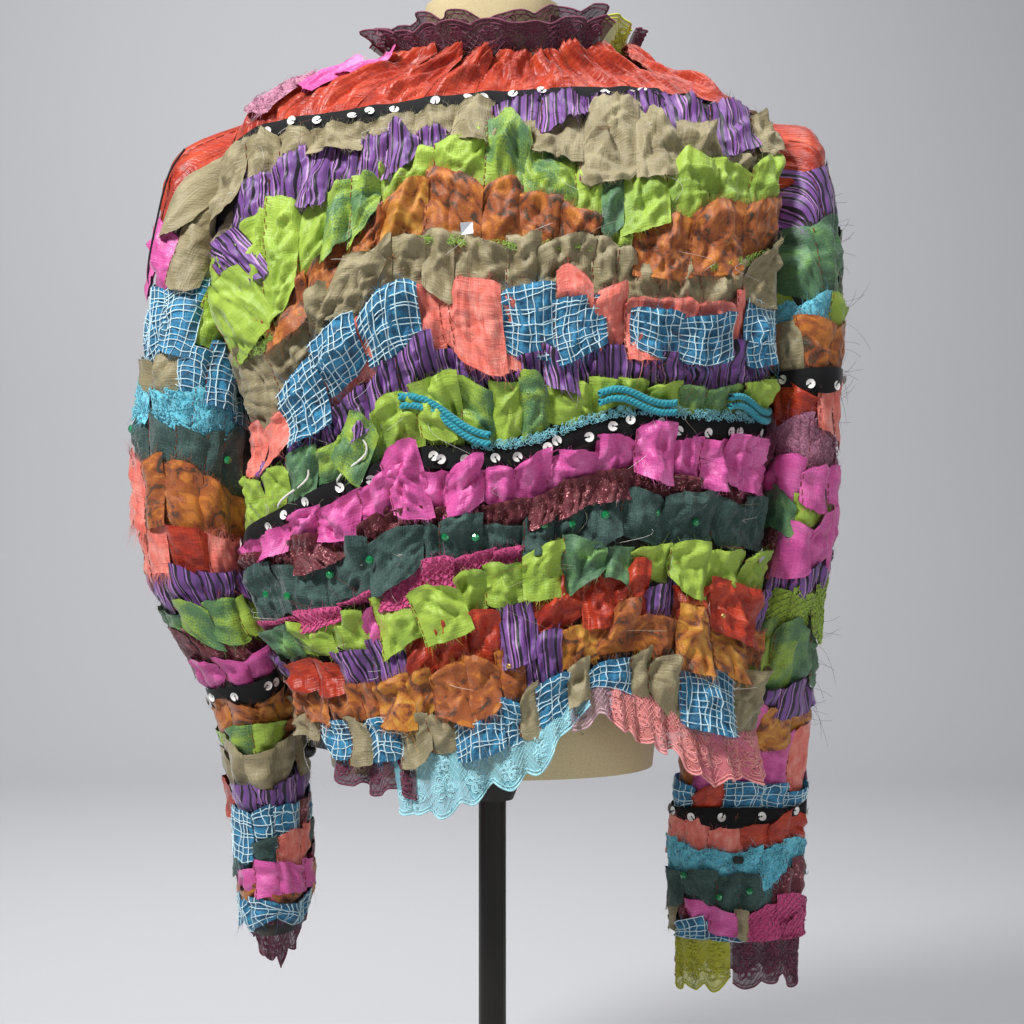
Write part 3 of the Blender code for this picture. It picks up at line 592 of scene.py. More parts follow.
class Work:
    """Gathers the parts of one piece: points in millimetres, faces, pattern places and finishes. The threads
    on a cloth are a piece of their own, loose."""

    def __init__(self, threaded=True, top_lift=TOP_LIFT):
        self.top_lift = top_lift
        self.loose = Work(False) if threaded else self
        self.points, self.patterns, self.faces, self.finishes = [], [], [], []
        self.count = 0
        self.cloth_area = 0.0
        self.cloth_run = 0.0

    def add(self, points, faces, pattern, finish):
        """Adds points of any grid shape with their faces, an array of triangles or of quads."""
        points = np.asarray(points, float).reshape(-1, 3)
        if np.ndim(pattern) == 1:
            pattern = np.broadcast_to(np.asarray(pattern, float), (len(points), 2))
        self.points.append(points)
        self.patterns.append(np.asarray(pattern, float).reshape(-1, 2))
        self.faces.append(np.asarray(faces) + self.count)
        self.finishes.append(finish)
        self.count += len(points)

    def grid(self, points, pattern, finish, around=False):
        """Adds a surface whose points lie on a grid of rows and columns."""
        rows, cols = points.shape[:2]
        self.add(points, grid_faces(rows, cols, around), pattern, finish)
        across = points[:-1, 1:] - points[:-1, :-1]
        down = points[1:, :-1] - points[:-1, :-1]
        self.cloth_area += np.linalg.norm(np.cross(across, down), axis=-1).sum() / 1e6
        self.cloth_run += np.linalg.norm(across, axis=-1).sum(1).mean() / 1e3

    def make(self, name, smooth_faces=True):
        """Writes the piece as one mesh in metres, at the origin, with its pattern places as a UV map."""
        order = list(dict.fromkeys(self.finishes))
        mesh = bpy.data.meshes.new(name)
        points = np.concatenate(self.points) / 1000
        corners = np.concatenate([f.ravel() for f in self.faces])
        sides = np.concatenate([np.full(len(f), f.shape[1]) for f in self.faces])
        slots = np.concatenate([np.full(len(f), order.index(n)) for f, n in zip(self.faces, self.finishes)])
        mesh.vertices.add(len(points))
        mesh.vertices.foreach_set("co", points.ravel())
        mesh.loops.add(len(corners))
        mesh.loops.foreach_set("vertex_index", corners)
        mesh.polygons.add(len(sides))
        mesh.polygons.foreach_set("loop_start", np.concatenate([[0], np.cumsum(sides)[:-1]]))
        mesh.polygons.foreach_set("loop_total", sides)
        mesh.polygons.foreach_set("material_index", slots)
        mesh.polygons.foreach_set("use_smooth", np.full(len(sides), smooth_faces))
        places = mesh.uv_layers.new(name="Pattern")
        places.data.foreach_set("uv", np.concatenate(self.patterns)[corners].ravel())
        mesh.update(calc_edges=True)
        for finish in order:
            mesh.materials.append(finish_of(finish))
        thing = put_in(name, mesh)
        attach(thing, "root")
        return thing


def grid_faces(rows, cols, around=False):
    """Quads of a grid of points, in rows. around closes the last column onto the first."""
    row, col = np.meshgrid(np.arange(rows - 1), np.arange(cols if around else cols - 1), indexing="ij")
    row, col = row.ravel(), col.ravel()
    right = (col + 1) % cols
    return np.stack(
        [row * cols + col, (row + 1) * cols + col, (row + 1) * cols + right, row * cols + right], 1,
    )


def threads(work, paths, radius, finish, sides=3, taper=True, pattern=(0.0, 0.0)):
    """Round threads along many paths at once: a ring of points at right angles to each path's direction."""
    paths = np.asarray(paths, float)
    count, places = paths.shape[:2]
    along = unit(np.gradient(paths, axis=1))
    first = unit(np.cross(along, np.array([0.31, 0.52, 0.80])))
    second = np.cross(along, first)
    angle = np.arange(sides) * 2 * np.pi / sides
    thick = np.broadcast_to(np.asarray(radius, float).reshape(-1, 1), (count, places)).copy()
    if taper:
        thick[:, -1] *= 0.15
    ring = first[:, :, None] * np.cos(angle)[:, None] + second[:, :, None] * np.sin(angle)[:, None]
    points = paths[:, :, None] + ring * thick[..., None, None]
    base = grid_faces(places, sides, around=True)
    faces = (base[None] + (np.arange(count) * places * sides)[:, None, None]).reshape(-1, 4)
    work.add(points, faces[:, ::-1], np.asarray(pattern, float), finish)


def soft_noise(rng, s, t, across, down):
    """Smooth random values from -1 to 1 on a grid: a small random table, blended by smoothstep both ways."""
    table = rng.uniform(-1, 1, (down + 2, across + 2))

    def weights(place, count):
        place = np.clip(place, 0, 0.9999) * count
        i = place.astype(int)
        f = place - i
        f = f * f * (3 - 2 * f)
        made = np.zeros((len(place), count + 2))
        made[np.arange(len(place)), i] = 1 - f
        made[np.arange(len(place)), i + 1] = f
        return made

    return weights(t, down) @ table @ weights(s, across).T


def creases(rng, x, y, wide, tall, depth):
    """Folds in a gathered block. Each is a line across it, most of them steep, that fades towards its ends:
    either a crisp fold whose relief falls evenly to both sides, or a pleat's step."""
    relief = np.zeros(np.broadcast(x, y).shape)
    for _ in range(int(np.clip(wide * tall / 65, 8, 24))):
        lean = rng.normal(0, 0.7)
        at_x, at_y = rng.uniform(0, wide), rng.uniform(0, tall)
        reach = rng.uniform(0.5, 1.3) * max(wide, tall)
        off = (x - at_x) * np.cos(lean) - (y - at_y) * np.sin(lean)
        along = (x - at_x) * np.sin(lean) + (y - at_y) * np.cos(lean)
        fade = np.clip(1 - (along / reach) ** 2, 0, 1)
        kind = rng.random()
        if kind < 0.65:
            shape = np.clip(1 - np.abs(off) / rng.uniform(2.4, 6.0), 0, 1) * (1 if kind < 0.35 else -1)
        else:
            shape = (2 / (1 + np.exp(-off / 0.6)) - 1) * np.clip(1 - np.abs(off) / 9, 0, 1) * 0.7
        relief += depth * rng.uniform(0.35, 1.0) * shape * fade
    return relief


def facets(rng, x, y, wide, tall, swell):
    """A bulge made of a few flat faces that meet in crisp edges: the lowest of several tilted planes."""
    planes = [swell + 0 * x + 0 * y]
    for side in (x, wide - x):
        slope = rng.uniform(0.25, 0.9) * swell / (0.25 * wide)
        planes.append(side * slope + (y - tall / 2) * rng.normal(0, 0.12))
    for _ in range(3):
        lean = rng.uniform(0, 2 * np.pi)
        off = (x - wide / 2) * np.cos(lean) + (y - tall / 2) * np.sin(lean)
        planes.append(swell * rng.uniform(0.85, 1.25) - off * rng.uniform(0.1, 0.4))
    return np.maximum(np.min(planes, axis=0), 0)


def puckers(rng, x, y, wide, tall):
    """Small folds that fan out from the stitches on both tucks: cosines of the angle that fade as they go."""
    relief = np.zeros(np.broadcast(x, y).shape)
    for edge in (0.0, wide):
        for at_y in (np.array([0.2, 0.75]) + rng.uniform(-0.1, 0.1, 2)) * tall:
            away = np.hypot(x - edge, y - at_y)
            angle = np.arctan2(y - at_y, np.abs(x - edge) + 0.01)
            fan = np.cos(rng.integers(4, 8) * angle + rng.uniform(0, 6))
            relief += 0.9 * fan * np.exp(-away / 7) * (1 - np.exp(-away / 1.5))
    return relief


def covered(spans, across):
    """How far, from 0 to 1, the row above hangs over this one at these places."""
    share = np.zeros_like(across)
    for first, last in spans:
        edge = 0.15 * (last - first)
        inside = np.clip((across - first) / edge + 0.5, 0, 1) * np.clip((last - across) / edge + 0.5, 0, 1)
        share = np.maximum(share, inside)
    return share


def raw_edges(rng, s, across, high, low, tall, up, down, under):
    """Heights of a block's two torn edges: each seam moved by up or down, rounded off at both corners, ragged
    and tilted, the upper one with a peak."""
    corner = np.abs(2 * np.clip(s, 0, 1) - 1) ** 5
    ragged = 0.25 * rng.uniform(-1, 1, (2, len(s))) + 0.9 * soft_noise(rng, s, np.array([0.2, 0.8]), 5, 1)
    round_up, round_down = rng.uniform(0.0, 0.09, 2) * tall
    tilt_up, tilt_down = np.clip(rng.normal(0, 0.11, 2) * tall, -6, 6)
    peak, peak_at = np.clip(rng.normal(0.03, 0.05) * tall, -3, 4), rng.uniform(-0.4, 0.4)
    upper = high(across) + up * (1 - under) - corner * round_up + ragged[0] + tilt_up * (2 * s - 1)
    upper = upper + peak * (1 - np.abs(2 * s - 1 - peak_at))
    lower = low(across) - down + corner * round_down + ragged[1] + tilt_down * (2 * s - 1)
    return upper, lower


def block_relief(rng, s, t, wide, tall, swell, crease, ripple):
    """How far a block's cloth stands out: part round bulge, 1 - |2s - 1|^3 across and a sine down, part flat
    faces, with folds, ripples and puckers on it."""
    x, y = s[None] * wide, t[:, None] * tall
    full = np.clip(1 - np.abs(2 * s - 1) ** 3, 0, 1)[None]
    body = (0.35 + 0.65 * np.sin(np.pi * (0.10 + 0.78 * t)))[:, None]
    turns = x / rng.uniform(5.5, 8.0) + 0.6 * soft_noise(rng, s, t, 3, 2)
    waves = np.cos(2 * np.pi * turns + rng.uniform(0, 6))
    round_share = rng.uniform(0.05, 0.3)
    relief = swell * rng.uniform(0.7, 1.15) * full * body * round_share
    relief = relief + facets(rng, x, y, wide, tall, swell) * (1 - round_share)
    relief = relief + (0.2 + 0.8 * full) * (creases(rng, x, y, wide, tall, crease) + ripple * waves)
    return relief + 0.5 * soft_noise(rng, s, t, 4, 3) + 0.6 * puckers(rng, x, y, wide, tall)


def pillow(
    work, surface, reach, high, low, cloth, rng, step,
    up=0.0, down=0.0, grain=(0.0, 0.0), lift=0.0, above=(), share=1.0,
):
    """One gathered block between two tucks. up and down move its raw edges beyond its seams. Its upper edge
    stands out over the row above, except where a block of that row hangs over it, and its lower one turns in
    unless it hangs down. It gets that share of its loose threads."""
    finish, swell, crease, ripple, fray, fray_length = CLOTHS[cloth]
    first, last = reach
    middle = (first + last) / 2
    top, bottom = float(high(middle)) + up, float(low(middle)) - down
    tall = top - bottom
    if tall < 5:
        return
    level = (top + bottom) / 2
    wide = np.linalg.norm(surface(last, level, 0.0) - surface(first, level, 0.0))
    if wide < 4:
        return
    cols, rows = max(7, int(wide / step) + 2), max(6, int(tall / step) + 2)
    s = np.linspace(-OVERLAP / wide, 1 + OVERLAP / wide, cols)
    t = np.linspace(0, 1, rows)
    down_it = t[:, None]
    across = first + s * (last - first)
    under = covered(above, across)
    upper, lower = raw_edges(rng, s, across, high, low, tall, up, down, under)
    sway = soft_noise(rng, s, t, 3, 2) * 1.5 * np.clip(np.minimum(s, 1 - s) / 0.15, 0, 1)
    place = across[None] + sway / wide * (last - first)
    relief = block_relief(rng, s, t, wide, tall, swell, crease, ripple)
    over = 6.0 * np.clip((down - 2) / 4, 0, 1)
    tucked = 1 - 0.8 * np.clip((down_it - 0.6) / 0.4, 0, 1) ** 1.2 * (1 - min(over / 3, 1))
    tucked = tucked * (1 - 0.85 * under * np.clip((0.4 - down_it) / 0.3, 0, 1))
    standing = (work.top_lift * rng.uniform(0.7, 1.3) + 0.3 * max(up, 0)) * (1 - under)
    fading = np.clip(1 - (down_it * tall - max(up, 0)) / (0.5 * tall), 0, 1) ** 2
    rise = standing * fading + over * down_it**2
    out = lift + np.maximum(relief * tucked, -0.6) + rise + rng.uniform(0, 0.5)
    points = surface(place, upper + down_it * (lower - upper), out)
    pattern = np.stack(np.broadcast_arrays(s[None] * wide * 1.15, down_it * tall), axis=-1) / 1000
    pattern = pattern + np.asarray(grain)
    work.grid(points, pattern, finish)
    frayed(work, points, pattern, rng, wide, fray * share, fray_length, finish)
    if cloth == "net":
        net_lines(work, points, rng, wide, tall)
    if cloth in ("crochet", "moss"):
        crochet_lines(work, points, rng, wide, tall, finish)
    if cloth in ("knit", "mauve"):
        curls(work, points, rng, wide * tall * 0.10 * share, finish, 0.45 if cloth == "knit" else 0.3)
    if share == 1.0:
        tuck_stitches(points, rng)


def surface_normal(points):
    """Outward normals of a grid of points: the cross product of its steps down and across."""
    across = np.gradient(points, axis=1)
    down = np.gradient(points, axis=0)
    return unit(np.cross(down, across))


def frayed(work, points, pattern, rng, wide, per_mm, usual, finish):
    """Loose threads at a block's raw upper and lower edges. Each is a flat ribbon that leaves the edge, bends
    to one side and lifts off a little."""
    normal = surface_normal(points)
    cols = points.shape[1]
    for row, inner in ((0, 2), (-1, -3)):
        count = int(wide * per_mm * 1.3)
        if count == 0:
            continue
        col = rng.integers(1, cols - 1, count)
        leave = unit(points[row, col] - points[inner, col])
        side = unit(points[row, col] - points[row, col - 1])
        length = usual * rng.gamma(2.0, 0.5, count)[:, None]
        bend = side * rng.normal(0, 0.5, count)[:, None]
        bend = bend + normal[row, col] * rng.uniform(0, 0.5, count)[:, None]
        start = points[row, col] - leave * 0.8 + normal[row, col] * 0.2
        steps = np.array([0.0, 0.5, 1.0])[None, :, None]
        curve = side * rng.normal(0, 0.5, count)[:, None] - np.array([0, 0, 0.15])
        bent = steps * unit(leave + bend)[:, None] + steps**2 * curve[:, None]
        path = start[:, None] + length[:, None] * bent
        half = side * rng.uniform(0.06, 0.14, count)[:, None]
        width = half[:, None] * np.array([1.0, 0.8, 0.25])[None, :, None]
        ribbon = np.stack([path - width, path + width], axis=2)
        base = grid_faces(3, 2)
        faces = (base[None] + (np.arange(count) * 6)[:, None, None]).reshape(-1, 4)
        places = np.repeat(pattern[row, col], 6, axis=0)
        work.loose.add(ribbon, faces, places, finish)


def on_cloth(points, row, col, out):
    """Points on a cloth's grid at fractional rows and columns, moved out along its normal."""
    normal = surface_normal(points)
    shape = points.shape
    row, col = np.broadcast_arrays(np.asarray(row, float), np.asarray(col, float))
    row = np.clip(row, 0, shape[0] - 1.001)
    col = np.clip(col, 0, shape[1] - 1.001)
    return sampled(points, row, col) + sampled(normal, row, col) * np.asarray(out, float)[..., None]


def net_lines(work, points, rng, wide, tall):
    """A net of pale threads about 5 mm apart over its blue backing. Each thread wanders a little."""
    rows, cols = points.shape[:2]
    cell = 5.0
    for count, along_rows in ((max(2, round(wide / cell)), True), (max(2, round(tall / cell)), False)):
        k = 11
        place = (np.arange(count) + rng.uniform(0.3, 0.7)) / count
        run = np.linspace(0.0, 1.0, k)
        wander = 0.10 / count * np.cumsum(rng.normal(0, 1, (count, k)), axis=1)
        bow = 0.35 / count * np.sin(np.pi * run)[None] * rng.normal(0, 1)
        line = place[:, None] + wander + bow
        if along_rows:
            paths = on_cloth(points, run[None] * (rows - 1), line * (cols - 1), np.full((count, k), 0.5))
        else:
            paths = on_cloth(points, line * (rows - 1), run[None] * (cols - 1), np.full((count, k), 0.7))
        threads(work.loose, paths, rng.uniform(0.38, 0.52, count), "net thread", taper=False)


def crochet_lines(work, points, rng, wide, tall, finish):
    """Crochet: upright strands 2.4 mm apart that swing to and fro by a sine, so that neighbours meet."""
    rows, cols = points.shape[:2]
    count = max(3, int(wide / 2.4))
    k = max(8, int(tall / 1.3))
    run = np.linspace(0, 1, k)
    swing = 0.5 / count * np.sin(np.pi * (run[None] * tall / 2.6 + np.arange(count)[:, None]))
    line = (np.arange(count)[:, None] + 0.5) / count + swing + 0.06 / count * rng.normal(0, 1, (count, k))
    paths = on_cloth(points, run[None] * (rows - 1), line * (cols - 1), 0.7 + 0.3 * rng.random((count, k)))
    threads(work.loose, paths, np.full(count, 0.5), finish, taper=False)


def curls(work, points, rng, count, finish, radius=0.4, reach=2.0):
    """Fuzzy loops of yarn standing on a cloth: each is one turn of a loose coil with its own lean."""
    count = int(count)
    if count == 0:
        return
    rows, cols = points.shape[:2]
    row, col = rng.uniform(0, rows - 1, (count, 1)), rng.uniform(0, cols - 1, (count, 1))
    root = on_cloth(points, row, col, np.full((count, 1), 0.2))
    angle = np.linspace(0, 1.6 * np.pi, 6)[None] + rng.uniform(0, 6, (count, 1))
    size = reach * rng.uniform(0.5, 1.1, (count, 1))
    lift = np.linspace(0.2, 1, 6)[None] * size * rng.uniform(0.2, 0.9, (count, 1))
    flat = unit(surface_normal(points)[rows // 2, cols // 2])
    side = unit(np.cross(flat, [0, 0, 1.0]))
    up = np.cross(side, flat)
    paths = root + side * (np.cos(angle) * size)[..., None] + up * (np.sin(angle) * size * 1.2)[..., None]
    paths = paths + flat * lift[..., None]
    threads(work.loose, paths, rng.uniform(0.7, 1.2, count) * radius, finish)


stitches = Work(False)


def tuck_stitches(points, rng):
    """Red-brown stitches down a block's tuck: short dashes 3 mm long every 4.5 mm."""
    rows = points.shape[0]
    tall = np.linalg.norm(points[-1, 0] - points[0, 0])
    count = int(tall / STITCH_EVERY)
    if count < 2 or rng.random() < 0.35:
        return
    start = (np.arange(count) + 0.3) / count
    run = start[:, None] + np.linspace(0, 0.66, 3)[None] / count
    col = 0.6 + 0.25 * rng.normal(0, 1, (count, 1))
    paths = on_cloth(points, run * (rows - 1), col + 0 * run, np.full(run.shape, 0.35))
    threads(stitches, paths, np.full(count, 0.32), "stitching thread", taper=False)


def gather_row(
    work, surface, high, low, reach, blocks, rng, step,
    lift=0.0, standing=2.5, tucking=1.0, above=(), hidden=1e9,
):
    """Lays a row's blocks side by side between its two seams, their widths scaled to fill its reach. Some of
    them hang over the row below, and the spans of those are returned. Blocks beyond the place where the
    photograph hides them get a coarser grid and fewer loose threads."""
    entries = []
    for cloth, *widths in blocks:
        grain = rng.uniform(0, 1, 2)
        for entry in widths:
            wide, up, down = entry if isinstance(entry, tuple) else (entry, 0.0, 0.0)
            entries.append((cloth, grain, wide, up, down))
    if reach[0] > reach[1]:
        entries.reverse()
    total = sum(entry[2] for entry in entries)
    at, hanging = reach[0], []
    for cloth, grain, wide, up, down in entries:
        end = at + wide / total * (reach[1] - reach[0])
        if cloth:
            jitter = rng.uniform(-1.5, 1.5, 2)
            run = grain + np.array([wide * at / 1000, 0])
            up, down = up + standing + jitter[0], down + tucking + jitter[1]
            if tucking > 0 and down < 4 and rng.random() < 0.25:
                down = 6.0
            if down >= 4:
                hanging.append(tuple(sorted((at, end))))
            far = (at + end) / 2 > hidden
            grid_step, share = (1.8 * step, 0.3) if far else (step, 1.0)
            pillow(
                work, surface, (at, end), high, low, cloth, rng, grid_step, up, down, run, lift, above,
                share,
            )
        at = end
    return hanging


def split_span(rng, cloth, ends, turn, length):
    """A cloth's span round a sleeve cut into blocks about 24 mm long, their widths given in degrees."""
    count = max(1, int(round((ends[1] - ends[0]) / 24)))
    cuts = (np.arange(count + 1) + np.pad(rng.uniform(-0.25, 0.25, count - 1), 1)) / count
    widths = np.diff(np.interp(ends[0] + cuts * (ends[1] - ends[0]), length, turn))
    return (cloth, *((wide, rng.uniform(-2.0, 3.5), 0.0) for wide in widths))


def ribbon(work, surface, high, low, reach, rng, step, lift, sequins):
    """A black velvet ribbon laid between two seams, with a soft wave, and sequins along its middle."""
    span = np.linalg.norm(
        np.diff(surface(np.linspace(*reach, 60), high(np.linspace(*reach, 60)), 0.0), axis=0), axis=1,
    )
    length = span.sum()
    cols = int(length / step)
    s, t = np.linspace(0, 1, cols), np.linspace(0, 1, 7)
    across = reach[0] + s * (reach[1] - reach[0])
    tall = high(across) - low(across)
    height = high(across) + 1.5 - t[:, None] * (tall + 2.5)
    wave = soft_noise(rng, s, t, int(length / 14), 1)
    out = lift + 1.4 + 0.9 * np.sin(np.pi * t)[:, None] + 1.1 * wave
    points = surface(across[None] + 0 * height, height, out)
    pattern = np.stack(np.broadcast_arrays(s[None] * length, t[:, None] * 10), axis=-1) / 1000
    work.grid(points, pattern, "black velvet")
    count = int(length / 21)
    place = (np.arange(count) + 0.5 + rng.uniform(-0.38, 0.38, count)) / count * (cols - 1)
    row = rng.uniform(2.0, 4.5, count)
    centre = on_cloth(points, row, place, np.full(count, 1.0))
    facing = sampled(surface_normal(points), row, place) + rng.normal(0, 0.16, (count, 3))
    scatter(sequins, slit_disc(), centre, facing, rng.uniform(0, 2 * np.pi, count), "white sequin")


def slit_disc():
    """A cupped sequin, 7 mm across with a 1.4 mm hole, cut by one slit from rim to hole."""
    angle = np.radians(np.linspace(16, 344, 15))
    radius = np.array([0.7, 2.2, 3.5])[:, None]
    points = np.stack(
        [radius * np.cos(angle), radius * np.sin(angle), 0.09 * radius**2 + 0 * angle], axis=-1,
    )
    return points, grid_faces(3, 15)[:, ::-1]


def dome(radius, height, sides, levels):
    """A domed stone: rings that shrink by the cosine as they rise by the sine, closed by a small flat top."""
    lean = np.radians(np.linspace(0, 72, levels))[:, None]
    angle = np.arange(sides) * 2 * np.pi / sides
    ring = np.stack(
        [
            radius * np.cos(lean) * np.cos(angle), radius * np.cos(lean) * np.sin(angle),
            height * np.sin(lean) + 0 * angle,
        ],
        axis=-1,
    )
    points = np.concatenate([ring.reshape(-1, 3), [[0, 0, height]]])
    top = (levels - 1) * sides
    turn = np.arange(sides)
    cap = np.stack([top + turn, top + (turn + 1) % sides, np.full(sides, len(points) - 1)], 1)
    return points, grid_faces(levels, sides, around=True)[:, ::-1], cap


def square_bead():
    """A flat bead 9 by 6 mm and 2 mm thick, its corners cut."""
    turn = np.radians(np.array([20, 70, 110, 160, 200, 250, 290, 340]))
    ring = np.stack(
        [4.6 * np.sign(np.cos(turn)) * np.abs(np.cos(turn)) ** 0.3, 3.2 * np.sin(turn), 0 * turn], -1,
    )
    points = np.concatenate([ring, ring * 0.8 + (0, 0, 2.0), [[0, 0, 2.0]]])
    k = np.arange(8)
    sides = np.stack([k, (k + 1) % 8, (k + 1) % 8 + 8, k + 8], axis=-1)
    cap = np.stack([k + 8, (k + 1) % 8 + 8, np.full(8, 16)], axis=-1)
    return points, sides, cap


def scatter(work, template, centre, facing, spin, finish):
    """Copies of a small template at many places, each turned to face outward and spun about that way."""
    points, *face_sets = template
    points = points.reshape(-1, 3)
    facing = unit(facing)
    side = unit(np.cross(facing, [0.05, 0.02, 1.0]))
    up = np.cross(facing, side)
    cos, sin = np.cos(spin)[:, None], np.sin(spin)[:, None]
    first, second = side * cos + up * sin, up * cos - side * sin
    placed = (
        centre[:, None]
        + points[None, :, :1] * first[:, None]
        + points[None, :, 1:2] * second[:, None]
        + points[None, :, 2:] * facing[:, None]
    )
    start = (np.arange(len(centre)) * len(points))[:, None, None]
    for number, faces in enumerate(face_sets):
        shifted = (faces[None] + start).reshape(-1, faces.shape[1])
        if number == 0:
            work.add(placed, shifted, (0.0, 0.0), finish)
        else:
            work.faces.append(shifted + work.count - placed.shape[0] * placed.shape[1])
            work.finishes.append(finish)


def twisted_cord(work, path, facing, rng, finish, radius=1.45, turn_every=9.0):
    """A cord of three strands. Each strand circles the path at its own third of a turn."""
    length = run_length(path)
    count = int(length[-1] / 1.3)
    run = np.linspace(0, length[-1], count)
    path, facing = smooth(run, length, path), unit(smooth(run, length, facing))
    along = unit(np.gradient(path, axis=0))
    side = unit(np.cross(along, facing))
    angle = 2 * np.pi * (run[None] / turn_every + np.arange(3)[:, None] / 3) + rng.uniform(0, 6)
    circle = side * np.cos(angle)[..., None] + facing * np.sin(angle)[..., None]
    strands = path[None] + circle * radius * 0.95
    threads(work, strands, np.full(3, radius), finish, sides=6, taper=False)


def lace(
    work, surface, reach, high, drop, scallop, rng, finish, lift=1.0, flare=4.0, wave=2.0, upward=False,
):
    """Lace hanging from a seam (or standing, if upward). Its ground is a fine sheer sheet with a slanting net
    of threads. The free edge is a row of scallops, |sin| across, with two cords along it, and each scallop
    holds a flower of looped petals."""
    at = np.linspace(*reach, 80)
    length = np.linalg.norm(np.diff(surface(at, high(at), 0.0), axis=0), axis=1).sum()
    count = max(1, round(length / scallop))
    sign = 1.0 if upward else -1.0
    phase = rng.uniform(0, 6)

    def deep(x):
        place = np.clip(x / length, 0, 1)
        uneven = 1 + 0.09 * np.sin(2 * np.pi * x / 67 + phase) + 0.05 * np.sin(2 * np.pi * x / 29 + 2 * phase)
        return drop(place) * (0.82 + 0.18 * np.abs(np.sin(np.pi * count * place))) * uneven

    def placed(x, y, out=0.0):
        across = reach[0] + np.clip(x / length, 0, 1) * (reach[1] - reach[0])
        share = y / np.maximum(deep(x), 1)
        swing = wave * share * np.sin(2 * np.pi * x / (scallop * 1.4) + phase)
        swing = swing + 0.8 * wave * share * np.sin(2 * np.pi * x / (scallop * 0.61) + 3 * phase)
        return surface(across, high(across) + sign * y, lift + flare * share + swing + out)

    cols, rows = max(10, int(length / 1.8)), 14
    x, t = np.linspace(0, length, cols)[None], np.linspace(0, 1, rows)[:, None]
    work.grid(
        placed(x + 0 * t, t * deep(x)), np.stack([x + 0 * t, t * deep(x)], -1) / 1000, finish + " ground",
    )
    start = np.arange(-20, length + 20, 3.8)[:, None]
    run = np.linspace(0, 1, 7)[None]
    for slant in (0.7, -0.7):
        line = start + slant * run * float(np.mean(drop(np.linspace(0, 1, 9))))
        inside = ((line > 0) & (line < length)).all(1)
        line = line[inside]
        threads(
            work.loose, placed(line, run * deep(line), 0.2), np.full(len(line), 0.3), finish, taper=False,
        )
    rim = np.linspace(0, length, max(24, int(length / 1.5)))[None]
    for inset, thick in ((0.0, 0.75), (2.6, 0.5)):
        threads(
            work.loose, placed(rim, deep(rim) - inset, 0.3), np.full(1, thick), finish, sides=5,
            taper=False,
        )
    centre = (np.arange(count) + 0.5) / count * length
    turn = np.linspace(0, 2 * np.pi, 11)[None]
    for level, size in ((0.62, 0.21), (0.24, 0.13)):
        for petal in range(6):
            lean = petal * np.pi / 3 + rng.uniform(-0.2, 0.2, (count, 1))
            tall = (drop(centre / length) * size)[:, None]
            for inner in (1.0, 0.62):
                u = tall * (0.55 + 0.5 * inner * np.cos(turn))
                v = tall * 0.34 * inner * np.sin(turn)
                px = centre[:, None] + u * np.cos(lean) - v * np.sin(lean)
                py = (level * drop(centre / length))[:, None] + u * np.sin(lean) + v * np.cos(lean)
                py = np.clip(py, 1, deep(px) - 1)
                threads(work.loose, placed(px, py, 0.4), np.full(count, 0.6), finish, taper=False)


# Colours and finishes


def colour(hex_code, alpha=1.0):
    """An sRGB hex colour as linear values."""
    values = [int(hex_code[k : k + 2], 16) / 255 for k in (1, 3, 5)]
    return (*(v / 12.92 if v <= 0.04045 else ((v + 0.055) / 1.055) ** 2.4 for v in values), alpha)


def add(tree, kind, settings=None, **inputs):
    """Adds a node with its settings. Each input is a value, or a socket to link, by its label or number."""
    made = tree.nodes.new(kind)
    for name, value in (settings or {}).items():
        setattr(made, name, value)
    for name, value in inputs.items():
        socket = made.inputs[int(name[1:]) if name[1:].isdigit() else name.replace("_", " ")]
        if isinstance(value, bpy.types.NodeSocket):
            tree.links.new(value, socket)
        else:
            socket.default_value = value
    return made


def ramp(tree, factor, stops, interpolation="LINEAR"):
    """A colour ramp through (position, hex colour) stops."""
    made = add(tree, "ShaderNodeValToRGB", None, _0=factor)
    made.color_ramp.interpolation = interpolation
    while len(made.color_ramp.elements) < len(stops):
        made.color_ramp.elements.new(0.5)
    for element, (position, shade) in zip(made.color_ramp.elements, stops):
        element.position = position
        element.color = colour(shade)
    return made.outputs["Color"]


def pattern_place(tree, wide_mm, tall_mm):
    """The pattern's own place on the cloth, scaled so that one unit is that many millimetres each way."""
    place = add(tree, "ShaderNodeUVMap", {"uv_map": "Pattern"})
    scale = (1000 / wide_mm, 1000 / tall_mm, 1000 / wide_mm)
    return add(tree, "ShaderNodeMapping", None, Vector=place.outputs["UV"], Scale=scale).outputs["Vector"]


def noise(tree, place, detail=3.0, distortion=0.0, kind="FBM"):
    """Noise of one unit, cloudy or with crisp ridges."""
    inputs = {"Vector": place, "Scale": 1.0, "Detail": detail, "Distortion": distortion}
    return add(tree, "ShaderNodeTexNoise", {"noise_type": kind}, **inputs).outputs["Fac"]


def with_share(tree, base, share, extra):
    """One value with a share of another added to it."""
    return add(
        tree, "ShaderNodeMath", {"operation": "MULTIPLY_ADD"}, _0=extra, _1=share, _2=base,
    ).outputs[0]


def crumpled(tree, fine, share, size_mm):
    """Small crisp folds, the ridges of a ridged noise, with a share of a finer relief added."""
    ridges = noise(tree, pattern_place(tree, size_mm, size_mm * 1.7), 1.5, 0.7, "RIDGED_MULTIFRACTAL")
    return with_share(tree, ridges, share, fine)


def start_finish(name, roughness, **sockets):
    """A material with its own Principled shader set to constant values."""
    made = bpy.data.materials.new(name)
    made.use_nodes = True
    tree = made.node_tree
    shader = tree.nodes["Principled BSDF"]
    shader.inputs["Roughness"].default_value = roughness
    for socket, value in sockets.items():
        shader.inputs[socket.replace("_", " ")].default_value = value
    return made, tree, shader


